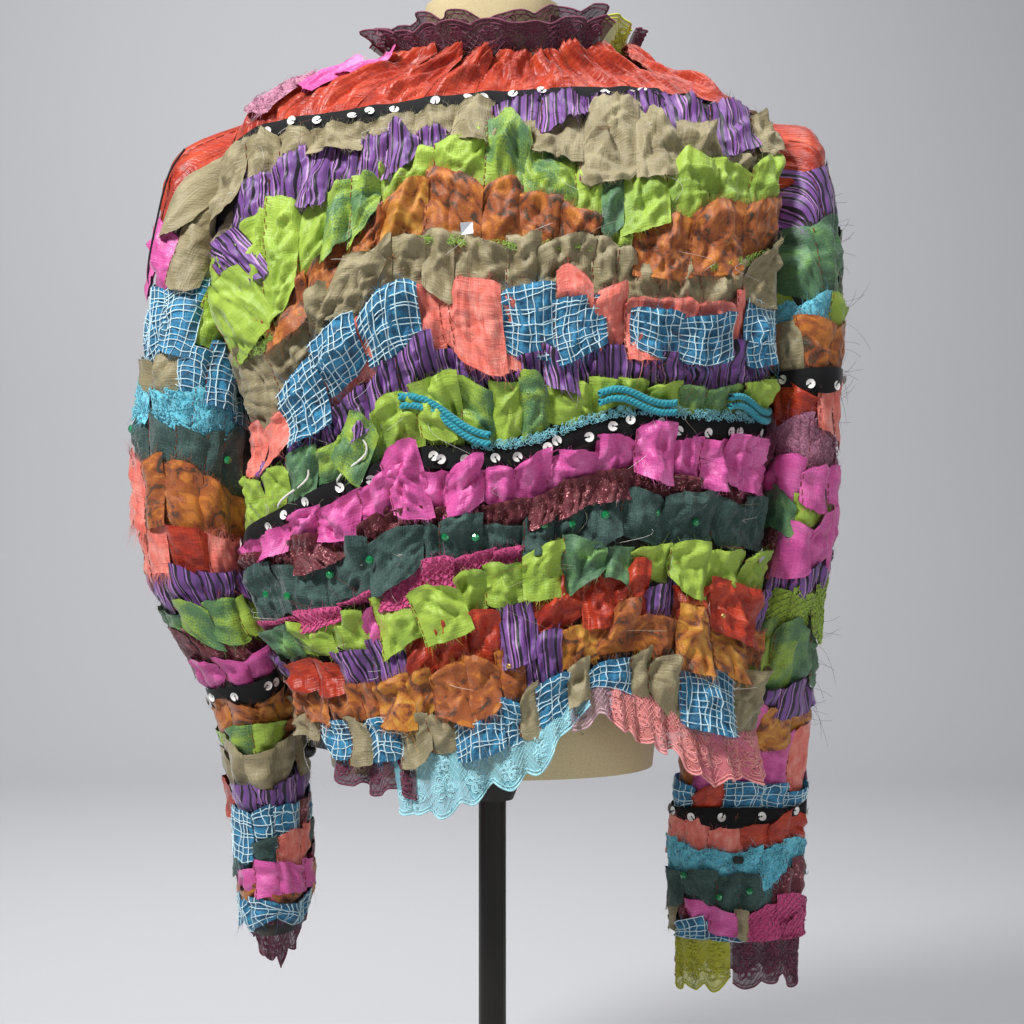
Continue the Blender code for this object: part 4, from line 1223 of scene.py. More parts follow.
def bump(tree, shader, height, strength, depth_mm):
    """Relief too fine for the mesh."""
    made = add(tree, "ShaderNodeBump", None, Height=height, Strength=strength, Distance=depth_mm / 1000)
    tree.links.new(made.outputs["Normal"], shader.inputs["Normal"])


def woven(name, stops, patch_mm, slub_mm, roughness, sheen, weave_mm=1.1, relief=0.25, slub=0.5):
    """Plain-woven silk. Soft clouds of colour patch_mm across lie under slubs, threads that are thicker for a
    stretch. The weave is drawn coarser than the real 0.2 mm one so that it shows."""
    made, tree, shader = start_finish(name, roughness, Sheen_Weight=sheen, Sheen_Roughness=0.4)
    clouds = noise(tree, pattern_place(tree, patch_mm, patch_mm), 2.5, 0.6)
    slubs = noise(tree, pattern_place(tree, *slub_mm), 2.0)
    grain = noise(tree, pattern_place(tree, 0.8, 1.2), 2.0)
    both = with_share(tree, clouds, slub, slubs)
    both = with_share(tree, both, 0.6, grain)
    level = add(
        tree, "ShaderNodeMapRange", None, Value=both, From_Min=0.48 + 0.3 * slub,
        From_Max=1.12 + 0.7 * slub,
    )
    tree.links.new(ramp(tree, level.outputs["Result"], stops), shader.inputs["Base Color"])
    threads_across = noise(tree, pattern_place(tree, weave_mm, weave_mm * 9), 1.0)
    threads_down = noise(tree, pattern_place(tree, weave_mm * 9, weave_mm), 1.0)
    cross = add(tree, "ShaderNodeMath", {"operation": "ADD"}, _0=threads_across, _1=threads_down).outputs[0]
    bump(tree, shader, crumpled(tree, cross, relief, 13), 0.85, 1.7)
    return made


def striped(name):
    """Silk woven in warp stripes 1 to 6 mm wide, purple, lilac and black, which run down each block."""
    made, tree, shader = start_finish(name, 0.5, Sheen_Weight=0.35, Sheen_Roughness=0.4)
    drift = noise(tree, pattern_place(tree, 22, 30), 1.0)
    place = add(tree, "ShaderNodeSeparateXYZ", None, Vector=pattern_place(tree, 26, 26))
    shifted = add(
        tree, "ShaderNodeMath", {"operation": "MULTIPLY_ADD"}, _0=drift, _1=0.25, _2=place.outputs["X"],
    )
    across = add(tree, "ShaderNodeMath", {"operation": "FRACT"}, _0=shifted.outputs[0])
    stops = (
        (0.0, "#6E4A86"), (0.10, "#17121F"), (0.17, "#80559A"), (0.30, "#B98AC0"), (0.34, "#17121F"),
        (0.40, "#8E58A8"), (0.46, "#17121F"), (0.49, "#B98AC0"), (0.52, "#17121F"), (0.60, "#7B4A94"),
        (0.74, "#2A1B36"), (0.78, "#A070B4"), (0.82, "#1B1424"), (0.90, "#7B4A94"),
    )
    tree.links.new(ramp(tree, across.outputs[0], stops, "CONSTANT"), shader.inputs["Base Color"])
    bump(tree, shader, crumpled(tree, noise(tree, pattern_place(tree, 1.1, 10), 1.0), 0.3, 11), 0.75, 1.5)
    return made


def lurex(name):
    """Crinkled cloth with metal thread: flecks 1.5 mm across glint pale pink where the thread comes up."""
    made, tree, shader = start_finish(name, 0.55, Sheen_Weight=0.3)
    flecks = noise(tree, pattern_place(tree, 2.2, 2.2), 2.0, 1.5)
    places = noise(tree, pattern_place(tree, 14, 14), 1.0)
    both = with_share(tree, flecks, 0.5, places)
    level = add(
        tree, "ShaderNodeMapRange", None, Value=both, From_Min=0.84, From_Max=0.92,
    ).outputs["Result"]
    shades = ramp(tree, level, ((0.0, "#64101F"), (0.5, "#8E2A38"), (1.0, "#D99AA0")))
    tree.links.new(shades, shader.inputs["Base Color"])
    tree.links.new(level, shader.inputs["Metallic"])
    bump(tree, shader, flecks, 0.9, 1.0)
    return made


def printed(name, stops, sheen):
    """Printed sheer: blotches about 12 mm across with hard edges, over a weave of clear fine threads."""
    made, tree, shader = start_finish(name, 0.5, Sheen_Weight=sheen)
    blotch = noise(tree, pattern_place(tree, 17, 15), 2.0, 1.8)
    speck = noise(tree, pattern_place(tree, 1.6, 1.6), 1.0)
    both = with_share(tree, blotch, 0.22, speck)
    level = add(
        tree, "ShaderNodeMapRange", None, Value=both, From_Min=0.40, From_Max=0.82,
    ).outputs["Result"]
    tree.links.new(ramp(tree, level, stops), shader.inputs["Base Color"])
    bump(tree, shader, crumpled(tree, noise(tree, pattern_place(tree, 0.9, 0.9), 1.0), 0.35, 12), 0.85, 1.6)
    return made


def plain(name, shade, roughness, relief=0.0, grain_mm=1.0, second=None, **sockets):
    """One colour, or two in fine clouds, with relief of a given grain."""
    made, tree, shader = start_finish(name, roughness, **sockets)
    shader.inputs["Base Color"].default_value = colour(shade)
    place = add(tree, "ShaderNodeTexCoord").outputs["Object"]
    scaled = add(
        tree, "ShaderNodeMapping", None, Vector=place, Scale=(1000 / grain_mm,) * 3,
    ).outputs["Vector"]
    if second:
        tree.links.new(
            ramp(tree, noise(tree, scaled), ((0.35, shade), (0.65, second))), shader.inputs["Base Color"],
        )
    if relief:
        bump(tree, shader, noise(tree, scaled, 2.0), relief, grain_mm * 0.4)
    return made


def sheer(name, shade, alpha):
    """Fine tulle that lets light through between its threads: a steady part of it is clear."""
    made, _, shader = start_finish(name, 0.7, Sheen_Weight=0.3)
    shader.inputs["Base Color"].default_value = colour(shade)
    shader.inputs["Alpha"].default_value = alpha
    return made


# Columns: what makes it, then that function's own values, and constant sockets where it has any
FINISHES = {
    "orange satin": (
        woven, ((0.2, "#861C06"), (0.5, "#B23012"), (0.8, "#CC4A22")), 16, (5, 1.6), 0.42, 0.25, 1.3, 0.4,
        0.5,
    ),
    "taupe dupioni": (
        woven, ((0.1, "#776C4C"), (0.5, "#978B68"), (0.9, "#B0A47E")), 24, (9, 0.9), 0.55, 0.3, 1.1, 0.35,
        0.5,
    ),
    "striped silk": (striped,),
    "lime silk": (
        woven, ((0.08, "#6E9040"), (0.35, "#94B23C"), (0.8, "#AECA4C")), 34, (12, 1.0), 0.52, 0.3, 1.1,
        0.3, 0.3,
    ),
    "dappled silk": (
        woven, ((0.2, "#456E4A"), (0.42, "#5E8650"), (0.6, "#94B23C"), (0.9, "#AECA4C")), 24, (12, 1.0),
        0.52, 0.3, 1.1, 0.3, 0.2,
    ),
    "green silk": (
        woven, ((0.2, "#35543C"), (0.55, "#567F58"), (0.9, "#7FAE4E")), 26, (12, 1.0), 0.52, 0.3, 1.1, 0.3,
        0.2,
    ),
    "rust sheer": (
        printed,
        ((0.0, "#3F301A"), (0.22, "#6B3A16"), (0.3, "#9A4A17"), (0.6, "#A85A18"), (0.8, "#C8761E")), 0.3,
    ),
    "amber sheer": (
        printed,
        ((0.0, "#4A3418"), (0.18, "#8A4415"), (0.35, "#B4661A"), (0.7, "#C8861E"), (0.9, "#D49A38")), 0.3,
    ),
    "coral crinkle": (
        woven, ((0.15, "#D85E4E"), (0.5, "#EC7A6A"), (0.9, "#F4A898")), 12, (3, 14), 0.6, 0.35, 1.2, 0.4,
        0.7,
    ),
    "blue backing": (
        woven, ((0.15, "#2A4456"), (0.45, "#2B6C90"), (0.7, "#3390BC"), (0.95, "#57AFCF")), 9, (5, 5), 0.7,
        0.3, 1.4, 0.5, 0.6,
    ),
    "pink silk": (
        woven, ((0.15, "#B83C86"), (0.5, "#DC5AA4"), (0.85, "#EE84C0")), 22, (9, 1.0), 0.45, 0.3, 1.1, 0.3,
        0.4,
    ),
    "burgundy lurex": (lurex,),
    "slate crepe": (
        woven, ((0.2, "#243D39"), (0.55, "#38544E"), (0.9, "#4F6C64")), 14, (2.0, 1.6), 0.75, 0.3, 0.9,
        0.6, 0.8,
    ),
    "rose crochet": (plain, "#C23A76", 0.8, 0.5, 1.2, "#E8609C", {"Sheen Weight": 0.3}),
    "lime crochet": (plain, "#8FB43A", 0.8, 0.5, 1.2, "#B8CE4C", {"Sheen Weight": 0.3}),
    "turquoise knit": (plain, "#3FB4CC", 0.85, 0.5, 1.4, "#8CDCEA", {"Sheen Weight": 0.4}),
    "mauve fringe": (plain, "#8E4A6A", 0.85, 0.4, 1.4, "#C98AA0", {"Sheen Weight": 0.4}),
    "net thread": (plain, "#C8ECF4", 0.7, 0.2, 0.8, "#EAFBFF"),
    "black velvet": (plain, "#08080A", 0.95, 0.4, 0.8, {"Sheen Weight": 0.15, "Sheen Roughness": 0.3}),
    "white sequin": (plain, "#F4F2EC", 0.2, {"Coat Weight": 0.6}),
    "silver sequin": (plain, "#D8DCE2", 0.35, {"Metallic": 0.6}),
    "green stone": (plain, "#0B8A4C", 0.08, {"Coat Weight": 1.0, "Metallic": 0.3}),
    "gold bead": (plain, "#D9B070", 0.25, {"Metallic": 0.9}),
    "stitching thread": (plain, "#8A3A22", 0.8),
    "teal cord": (plain, "#0F8494", 0.6, 0.6, 1.0, "#24A8B8", {"Sheen Weight": 0.3}),
    "turquoise fuzz": (plain, "#6FD0DE", 0.85, 0.3, 1.0, "#A8E8F0", {"Sheen Weight": 0.4}),
    "lime boucle": (plain, "#86B040", 0.85, 0.3, 1.0, "#A9D050", {"Sheen Weight": 0.3}),
    "taupe thread": (plain, "#A8A088", 0.85, 0.3, 0.8),
    "white yarn": (plain, "#E8E4DC", 0.85, 0.3, 0.8),
    "maroon lace": (plain, "#5C1F38", 0.75, 0.3, 0.8, "#7E3450", {"Sheen Weight": 0.3}),
    "maroon lace ground": (sheer, "#4A1830", 0.8),
    "turquoise lace": (plain, "#9ADCE8", 0.7, 0.3, 0.8, "#C4F0F4", {"Sheen Weight": 0.3}),
    "turquoise lace ground": (sheer, "#8CD4E2", 0.62),
    "salmon lace": (plain, "#E88A88", 0.7, 0.3, 0.8, "#F4A8A4", {"Sheen Weight": 0.3}),
    "salmon lace ground": (sheer, "#DE7E7C", 0.62),
    "mauve lace": (plain, "#C8A0AC", 0.7, 0.3, 0.8, "#DAB8C0", {"Sheen Weight": 0.3}),
    "mauve lace ground": (sheer, "#B890A0", 0.35),
    "chartreuse lace": (plain, "#B8BA20", 0.7, 0.3, 0.8, "#D4D640", {"Sheen Weight": 0.3}),
    "chartreuse lace ground": (sheer, "#C2C41E", 0.8),
    "lining": (plain, "#3A3330", 0.85, 0.2, 1.2, "#2C2826", {"Sheen Weight": 0.2}),
    "black braid": (plain, "#151515", 0.7, 0.5, 1.2, {"Sheen Weight": 0.3}),
    "black button": (plain, "#121212", 0.35, 0.15, 1.5),
    "black string": (plain, "#101010", 0.8, 0.4, 0.8),
    "dark paint": (plain, "#1E1B17", 0.4, 0.08, 1.0, {"Metallic": 0.3}),
    "linen": (plain, "#CDB98A", 0.85, 0.35, 0.9, "#DCCB9E", {"Sheen Weight": 0.25}),
    "pale floor": (plain, "#C9C9CC", 0.9),
}
made_finishes = {}


def finish_of(name):
    """The finish of that name, made once."""
    if name not in made_finishes:
        make, *values = FINISHES[name]
        sockets = values.pop() if values and isinstance(values[-1], dict) else {}
        sockets = {socket.replace(" ", "_"): value for socket, value in sockets.items()}
        made_finishes[name] = make(name, *values, **sockets)
    return made_finishes[name]


# The pieces


def sew(work, name, node, slot):
    """Makes a cloth piece and its threads in place of a node, and hides the node."""
    thing = work.make(name)
    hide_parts(node)
    on_it = []
    if work.loose.count:
        on_it = [work.loose.make(name + "_threads")]


SLOTS = {
    "strip_01_orange_satin": "satin_orange",
    "strip_02_velvet_upper": "velvet_black",
    "strip_03_taupe_purple": "silk_taupe",
    "strip_04_lime_upper": "silk_lime",
    "strip_05_rust_upper": "sheer_rust",
    "strip_06_taupe_wide": "silk_taupe",
    "strip_07_coral_net": "sheer_coral",
    "strip_08_purple_stripe": "stripe_purple",
    "strip_09_lime_middle": "silk_lime",
    "strip_10_velvet_middle": "velvet_black",
    "strip_11_pink_silk": "silk_pink",
    "strip_12_burgundy_lurex": "lurex_burgundy",
    "strip_13_slate_crepe": "crepe_slate",
    "strip_14_rose_crochet": "crochet_rose",
    "strip_15_lime_lower": "silk_lime",
    "strip_16_orange_purple": "satin_orange",
    "strip_17_rust_lower": "sheer_rust",
    "strip_18_taupe_net": "silk_taupe",
}


def dress_back(sequins):
    """The back's strips: one piece for each strip of the frame, ribbons and trims among them."""
    rng = np.random.default_rng(7)
    made, hanging, previous = {}, {}, None
    for node, high, low, first, last, *blocks in BACK_ROWS:
        work = made.setdefault(node, Work())
        lift = SEWN_LIFT + (4.5 if high == previous else 0)
        standing = -1.0 if high in ("ribbon", "velvet") else 2.5
        tucking = -1.0 if low in ("middle", "orange") else 1.0
        spans = gather_row(
            work, back_cloth, seam(high), seam(low), (first, last), blocks, rng, BACK_STEP,
            lift, standing, tucking, hanging.get(high, []),
        )
        hanging[low] = hanging.get(low, []) + spans
        previous = high
    neck = made["strip_01_orange_satin"]
    for reach, high, low, cloth in (
        ((0.12, 0.165), 914, 902, "pink"), ((0.03, 0.08), 901, 878, "mauve"),
        ((0.075, 0.13), 908, 893, "pink"),
    ):
        level = (lambda at, z=high: z + 0 * at, lambda at, z=low: z + 0 * at)
        pillow(neck, back_cloth, reach, *level, cloth, rng, BACK_STEP, 0, 3, (0.3, 0.3), SEWN_LIFT + 7)
    for node, cloth, middle_x, middle_z, wide, tall, degrees, lift in PATCHES:
        level = (lambda at, z=tall / 2: z + 0 * at, lambda at, z=-tall / 2: z + 0 * at)
        under = patch_cloth(middle_x, middle_z, degrees)
        pillow(
            made[node], under, (-wide / 2, wide / 2), *level, cloth, rng, BACK_STEP, 0, 3, (0.1, 0.7),
            lift,
        )
    upper, middle = made.setdefault("strip_02_velvet_upper", Work()), made.setdefault(
        "strip_10_velvet_middle", Work(),
    )
    ribbon(
        upper, back_cloth, seam("orange"), seam("velvet"), (0.0, 0.8), rng, BACK_STEP, SEWN_LIFT + 3,
        sequins,
    )
    ribbon(
        middle, back_cloth, seam("middle"), seam("ribbon"), (0.0, 1.0), rng, BACK_STEP, SEWN_LIFT + 3,
        sequins,
    )
    for node, work in made.items():
        sew(work, node + "_cloth", node, SLOTS[node])


def dress_sleeve(side, sequins):
    """A sleeve: a plain lining tube, and its rows of gathered blocks."""
    rng = np.random.default_rng(11 if side == "left" else 12)
    smooth_sleeve = sleeve_cloth(side)

    def surface(angle, height, out):
        """The sleeve's cloth. Its frills lie closer than the back's, the more so towards its top."""
        out = np.minimum(out, 5) + 0.5 * np.maximum(out - 5, 0)
        return smooth_sleeve(angle, height, out * (1 - 0.6 * np.clip((height - 790) / 80, 0, 1)))

    angle = np.linspace(0, 360, LINING_SIDES + 1)[:-1]
    lining = Work()
    rings = sleeve_rings(side, LINING_SIDES)
    length = run_length(rings.mean(1))
    tube = smooth(np.linspace(0, length[-1], LINING_LEVELS), length, rings)
    pattern = np.stack(np.meshgrid(angle / 1000, np.linspace(0, 0.6, LINING_LEVELS)), axis=-1)
    lining.grid(tube if side == "left" else tube[:, ::-1], pattern, "lining", around=True)
    sew(lining, f"sleeve_{side}_lining", f"sleeve_{side}", "silk_pink")
    work = Work(top_lift=2.4)
    high, spans, after_ribbon = ring_seam(878, 898, 900, 0, 0), [], False
    reach = (0, 360) if side == "left" else (360, 0)
    rows = SLEEVE_ROWS[side]
    for number, (outer, behind, inner, *cloths) in enumerate(rows):
        before_ribbon = number + 1 < len(rows) and rows[number + 1][3][0] == "velvet"
        wobble, phase = (1.0 if before_ribbon else 3.5), rng.uniform(0, 6)
        low = ring_seam(outer, behind, inner, wobble, phase)
        if cloths[0][0] == "velvet":
            ribbon(work, surface, high, low, reach, rng, SLEEVE_STEP, 4.2, sequins)
            spans, after_ribbon = [], True
        else:
            turn = np.linspace(0, 360, 145)
            length = run_length(surface(turn, low(turn), 0.0))
            ends = np.interp(np.cumsum([0] + [span for _, span in cloths]), turn, length)
            blocks = [split_span(
                rng, cloth, ends[k : k + 2], turn, length,
            ) for k, (cloth, _) in enumerate(cloths)]
            standing, tucking = -1.0 if after_ribbon else 2.5, -1.0 if before_ribbon else 1.0
            spans = gather_row(
                work, surface, high, low, reach, blocks, rng, SLEEVE_STEP, 0.8, standing, tucking, spans, 185
            )
            after_ribbon = False
        high = low
    sew(work, f"sleeve_{side}_strips", f"sleeve_{side}", "silk_pink")


def dress_front(side):
    """A front: a plain lining panel, and its rows of gathered blocks."""
    rng = np.random.default_rng(21 if side == "left" else 22)
    surface = front_cloth(side)
    share, rise = np.meshgrid(np.linspace(0, 1, 30), np.linspace(0, 1, 60))
    height = front_hem(side, share) + rise * (NECK_HEIGHT - front_hem(side, share))
    lining = Work()
    points = surface(share, height, 0.0)
    lining.grid(points if side == "left" else points[:, ::-1], np.stack([share, rise], -1) * 0.4, "lining")
    sew(lining, f"front_{side}_lining", f"front_{side}", "stripe_purple")
    work = Work()
    count, spans = len(FRONT_ROWS), []
    for number, cloths in enumerate(FRONT_ROWS):
        wave = rng.uniform(0, 6)

        def level(place, number=number, wave=wave):
            place = np.asarray(place, float)
            hem = front_hem(side, place)
            dip = 5 * np.sin(2.6 * place + wave) * np.sin(np.pi * number / count)
            return NECK_HEIGHT - 4 - (NECK_HEIGHT - 4 - hem) * number / count + dip

        def lower(place, number=number + 1, wave=wave):
            return level(place, number, wave)

        blocks = []
        for k in range(7):
            blocks.append((cloths[k % len(cloths)], rng.uniform(20, 32)))
        reach = (1.0, 0.0) if side == "left" else (0.0, 1.0)
        spans = gather_row(
            work, surface, level, lower, reach, blocks, rng, FRONT_STEP, 1.2, above=spans, hidden=-1,
        )
    sew(
        work, f"front_{side}_strips", f"front_{side}",
        "stripe_purple",
    )


def dress_hem():
    """The four laces under the back's hem, from maroon on the left to salmon on the right."""
    rng = np.random.default_rng(31)
    laces = (
        ("hem_lace_maroon", "maroon lace", 0.075, 0.27, (20, 38), 22, "lace_maroon"),
        ("hem_lace_turquoise", "turquoise lace", 0.215, 0.66, (54, 18), 24, "lace_turquoise"),
        ("hem_lace_mauve", "mauve lace", 0.62, 0.74, (26, 34), 20, "lace_mauve"),
        ("hem_lace_salmon", "salmon lace", 0.70, 0.99, (34, 48), 23, "lace_salmon"),
    )
    for name, finish, first, last, (drop_first, drop_last), scallop, slot in laces:
        work = Work()

        def drop(place, low=drop_first, high=drop_last):
            return low + (high - low) * np.asarray(place, float)

        hem = seam("hem")
        lace(
            work, back_cloth, (first, last), lambda at: hem(at) + 4, drop, scallop, rng, finish, 2.0, 5.0,
            3.6,
        )
        sew(work, name + "_cloth", name, slot)


def dress_cuffs():
    """Lace at the sleeves' ends: maroon with a point on the left, chartreuse and maroon on the right."""
    rng = np.random.default_rng(41)
    laces = (
        ("cuff_lace_left", "left", "maroon lace", 0, 345, 28, 28, 286, "lace_maroon"),
        ("cuff_lace_right_chartreuse", "right", "chartreuse lace", 178, 100, 42, 0, 247, "lace_chartreuse"),
        ("cuff_lace_right_maroon", "right", "maroon lace", 98, -172, 40, 0, 247, "lace_maroon"),
    )
    for name, side, finish, first, last, drop_by, point, start, slot in laces:
        outer_x, _, inner_x, _, middle_y, half_depth = SLEEVES[side][-1]

        def surface(angle, height, out):
            angle, height, out = matched(angle, height, out)
            turn = np.radians(angle)
            narrow = 1 - (0.6 if side == "left" else 0.08) * np.clip((min(start, 272) - height) / 45, 0, 1)
            wide = np.abs(outer_x - inner_x) / 2 * narrow + out
            x = (outer_x + inner_x) / 2 + np.sign(outer_x) * wide * np.cos(turn)
            return np.stack([x, middle_y - (half_depth * narrow + out) * np.sin(turn), height], axis=-1)

        def drop(place):
            turn = np.radians(first + (last - first) * np.asarray(place, float))
            return drop_by + point * np.clip(np.cos(turn - 1.75), 0, 1) ** 2

        work = Work()
        lace(work, surface, (first, last), lambda at: start + 0 * at, drop, 20, rng, finish, 0.4, 1.5, 1.6)
        sew(work, name + "_cloth", name, slot)


def dress_collar():
    """The standing collar: a ruffle of maroon lace that leans out and waves, with a chartreuse end."""
    rng = np.random.default_rng(51)

    def surface(turn, height, out):
        turn, height, out = matched(turn, height, out)
        rise = np.clip((height - NECK_HEIGHT) / 34, 0, 1.2)
        base = body_point(turn, NECK_HEIGHT)
        centre = np.array([18.0, 0, NECK_HEIGHT])
        away = unit((base - centre) * (1, 1, 0))
        theta = np.radians(turn)
        ruffle = 3.0 * np.sin(13 * theta) + 2.2 * np.sin(29 * theta + 1.0)
        ruffle = ruffle + 2.0 * np.sin(41 * theta + 6 * rise)
        spread = 12 * np.clip(1 - np.abs(turn - 15) / 45, 0, 1)
        lean = (14 + spread) * rise**1.3 + ruffle * rise + out - 1
        points = base + away * lean[..., None]
        points[..., 2] = height
        return points

    def drop(place):
        return 33 - 5 * np.sin(np.pi * np.asarray(place, float)) ** 2

    work = Work()
    base = lambda at: NECK_HEIGHT + 0 * at
    lace(work, surface, (132, -68), base, drop, 22, rng, "maroon lace", 0.0, 0.0, 1.2, upward=True)
    lace(
        work, surface, (126, 0), base, lambda at: 0.7 * drop(at), 17, rng, "maroon lace", 5.0, 9.0, 2.2,
        upward=True,
    )
    lace(work, surface, (160, 132), base, drop, 22, rng, "chartreuse lace", 0.0, 0.0, 1.2, upward=True)
    lace(work, surface, (248, 160), base, drop, 22, rng, "maroon lace", 0.0, 0.0, 1.2, upward=True)
    sew(work, "collar_lace_cloth", "collar_lace", "lace_maroon")


def outward(surface, at, height, out):
    """Places on a cloth, and the directions that face out of it: the steps to places 1 mm further out."""
    place = surface(at, height, out)
    return place, surface(at, height, out + 1) - place


def teal_cords(rng):
    """The doubled teal cord. Columns: its shares of the back, then heights over the seam, start and end."""
    cord = Work(False)
    for first, last, high, low in ((0.317, 0.47, 40, 9), (0.665, 0.80, 18, 9), (0.895, 0.985, 15, 8)):
        for below in (0, CORD_APART):
            at = np.linspace(first, last, 16)
            sag = 3 * np.sin(np.linspace(0, 2 * np.pi, 16))
            height = seam("middle")(at) + np.linspace(high, low, 16) + sag - below
            twisted_cord(cord, *outward(back_cloth, at, height, 12.5), rng, "teal cord")
    thing = cord.make("teal_cord_trim_strands")
    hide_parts("teal_cord_trim")


def fuzzy_trims(rng):
    """Fuzzy turquoise braid and moss-green bouclé along seams, two loose white yarns, and loose threads all
    over the back and on the outside of the right sleeve."""
    fuzz = Work(False)
    for first, last, name, high, low, finish in (
        (0.44, 0.98, "middle", 5, -1, "turquoise fuzz"),
        (0.03, 0.30, "rust", 0, -6, "lime boucle"),
        (0.36, 0.66, "rust", 1, -4, "lime boucle"),
        (0.86, 0.99, "rust", 1, -4, "lime boucle"),
    ):
        at = np.linspace(first, last, 60)
        height = seam(name)(at) + np.linspace(high, low, 6)[:, None]
        points = back_cloth(at + 0 * height, height, 8.5)
        square_mm = (last - first) * BACK_ACROSS * (high - low)
        curls(fuzz, points, rng, square_mm * 0.28 * 1.5, finish, 0.28, 1.6)
    for start, top in ((0.235, 642), (0.13, 624)):
        run = np.linspace(0, 1, 12)
        at = start + 0.02 * np.sin(5 * run) - 0.02 * run
        path = back_cloth(at, top - 34 * run, 9.0 + 2 * np.sin(3 * run))[None]
        threads(fuzz, path, 0.9, "white yarn", sides=5)
    count = 220
    each = (count, 1)
    at, level = rng.uniform(0.02, 0.98, each), rng.uniform(430, 880, each)
    run = np.linspace(0, 1, 9)[None]
    long = rng.gamma(2.0, 9, each)
    aside = rng.normal(0, 0.5, each) * run + rng.normal(0, 0.25, each) * np.sin(4 * run)
    height = level - long * run * rng.uniform(-0.3, 1, each)
    path = back_cloth(at + aside * long / BACK_ACROSS, height, 9 + 4 * np.sin(3 * run))
    for k, finish in enumerate(("stitching thread", "white yarn", "taupe thread", "black string")):
        threads(fuzz, path[k::4], np.full(len(path[k::4]), 0.13), finish)
    count = 60
    each = (count, 1)
    angle = rng.normal(0, 28, each)
    level = rng.choice((800, 740, 690, 470, 430), each) + rng.normal(0, 14, each)
    long = rng.uniform(8, 24, each)
    angle = angle + rng.normal(0, 14, each) * run
    height = level + rng.normal(0, 14, each) * run**2
    path = sleeve_cloth("right")(angle, height, 4 + long * run)
    threads(fuzz, path, np.full(count, 0.11), "black string")
    fuzz.make("fuzzy_trims")


def stones_and_beads(rng):
    """Green stones on the slate row and the sleeves, a flat black bead, two metal squares and gold beads."""
    stones = Work(False)
    slate_at = np.array([0.06, 0.10, 0.185, 0.26, 0.40, 0.455, 0.58, 0.63, 0.69, 0.78, 0.85])
    upper, lower = seam("slate")(slate_at), seam("lurex")(slate_at)
    slate_height = upper + (lower - upper) * rng.uniform(0.45, 0.75, len(slate_at))
    slate_spin = rng.uniform(0, 1, len(slate_at))
    stone, small_stone, gold = dome(3.2, 2.2, 8, 3), dome(3.0, 2.2, 8, 3), dome(2.2, 2.2, 8, 3)
    corners = np.array([[-4.5, -4, 0], [4, -4.5, 0.6], [4.5, 4, 0], [-4, 4.5, 0.8]])
    square = (corners, np.array([[0, 1, 2, 3]]))
    left, right = sleeve_cloth("left"), sleeve_cloth("right")
    for surface, at, height, out, template, spin, finish in (
        (back_cloth, slate_at, slate_height, 10.0, stone, slate_spin, "green stone"),
        (left, (28, 128), (650, 627), 8.0, stone, (0, 0), "green stone"),
        (right, (142, 109, 84), (296, 281, 286), 8.0, small_stone, (0, 0, 0), "green stone"),
        (right, (93,), (311,), 8.0, square_bead(), (0,), "black button"),
        (back_cloth, (0.455, 0.965), (783, 557), 11.0, square, (0.2, 0.7), "silver sequin"),
        (back_cloth, (0.90, 0.50, 0.33), (514, 480, 520), 12.0, gold, (0, 0, 0), "gold bead"),
    ):
        scatter(stones, template, *outward(surface, at, height, out), np.array(spin, float), finish)
    stones.make("green_stones", smooth_faces=False)


def balls():
    """Round shank buttons: each a full globe of rings, with the frame's own middle and radius."""
    for number in range(1, 7):
        low, high = (np.array(v) * 1000 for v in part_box(f"button_{number}"))
        centre, radius = (low + high) / 2, BUTTON_RADIUS
        lean = np.radians(np.linspace(-90, 90, 17))[:, None]
        turn = np.radians(np.arange(0, 360, 15))
        points = np.stack(
            [np.cos(lean) * np.cos(turn), np.cos(lean) * np.sin(turn), np.sin(lean) + 0 * turn], -1,
        )
        work = Work()
        work.grid(centre + radius * points, (0.0, 0.0), "black button", around=True)
        work.faces[-1] = work.faces[-1][:, ::-1]
        thing = work.make(f"button_{number}_ball")
        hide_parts(f"button_{number}")


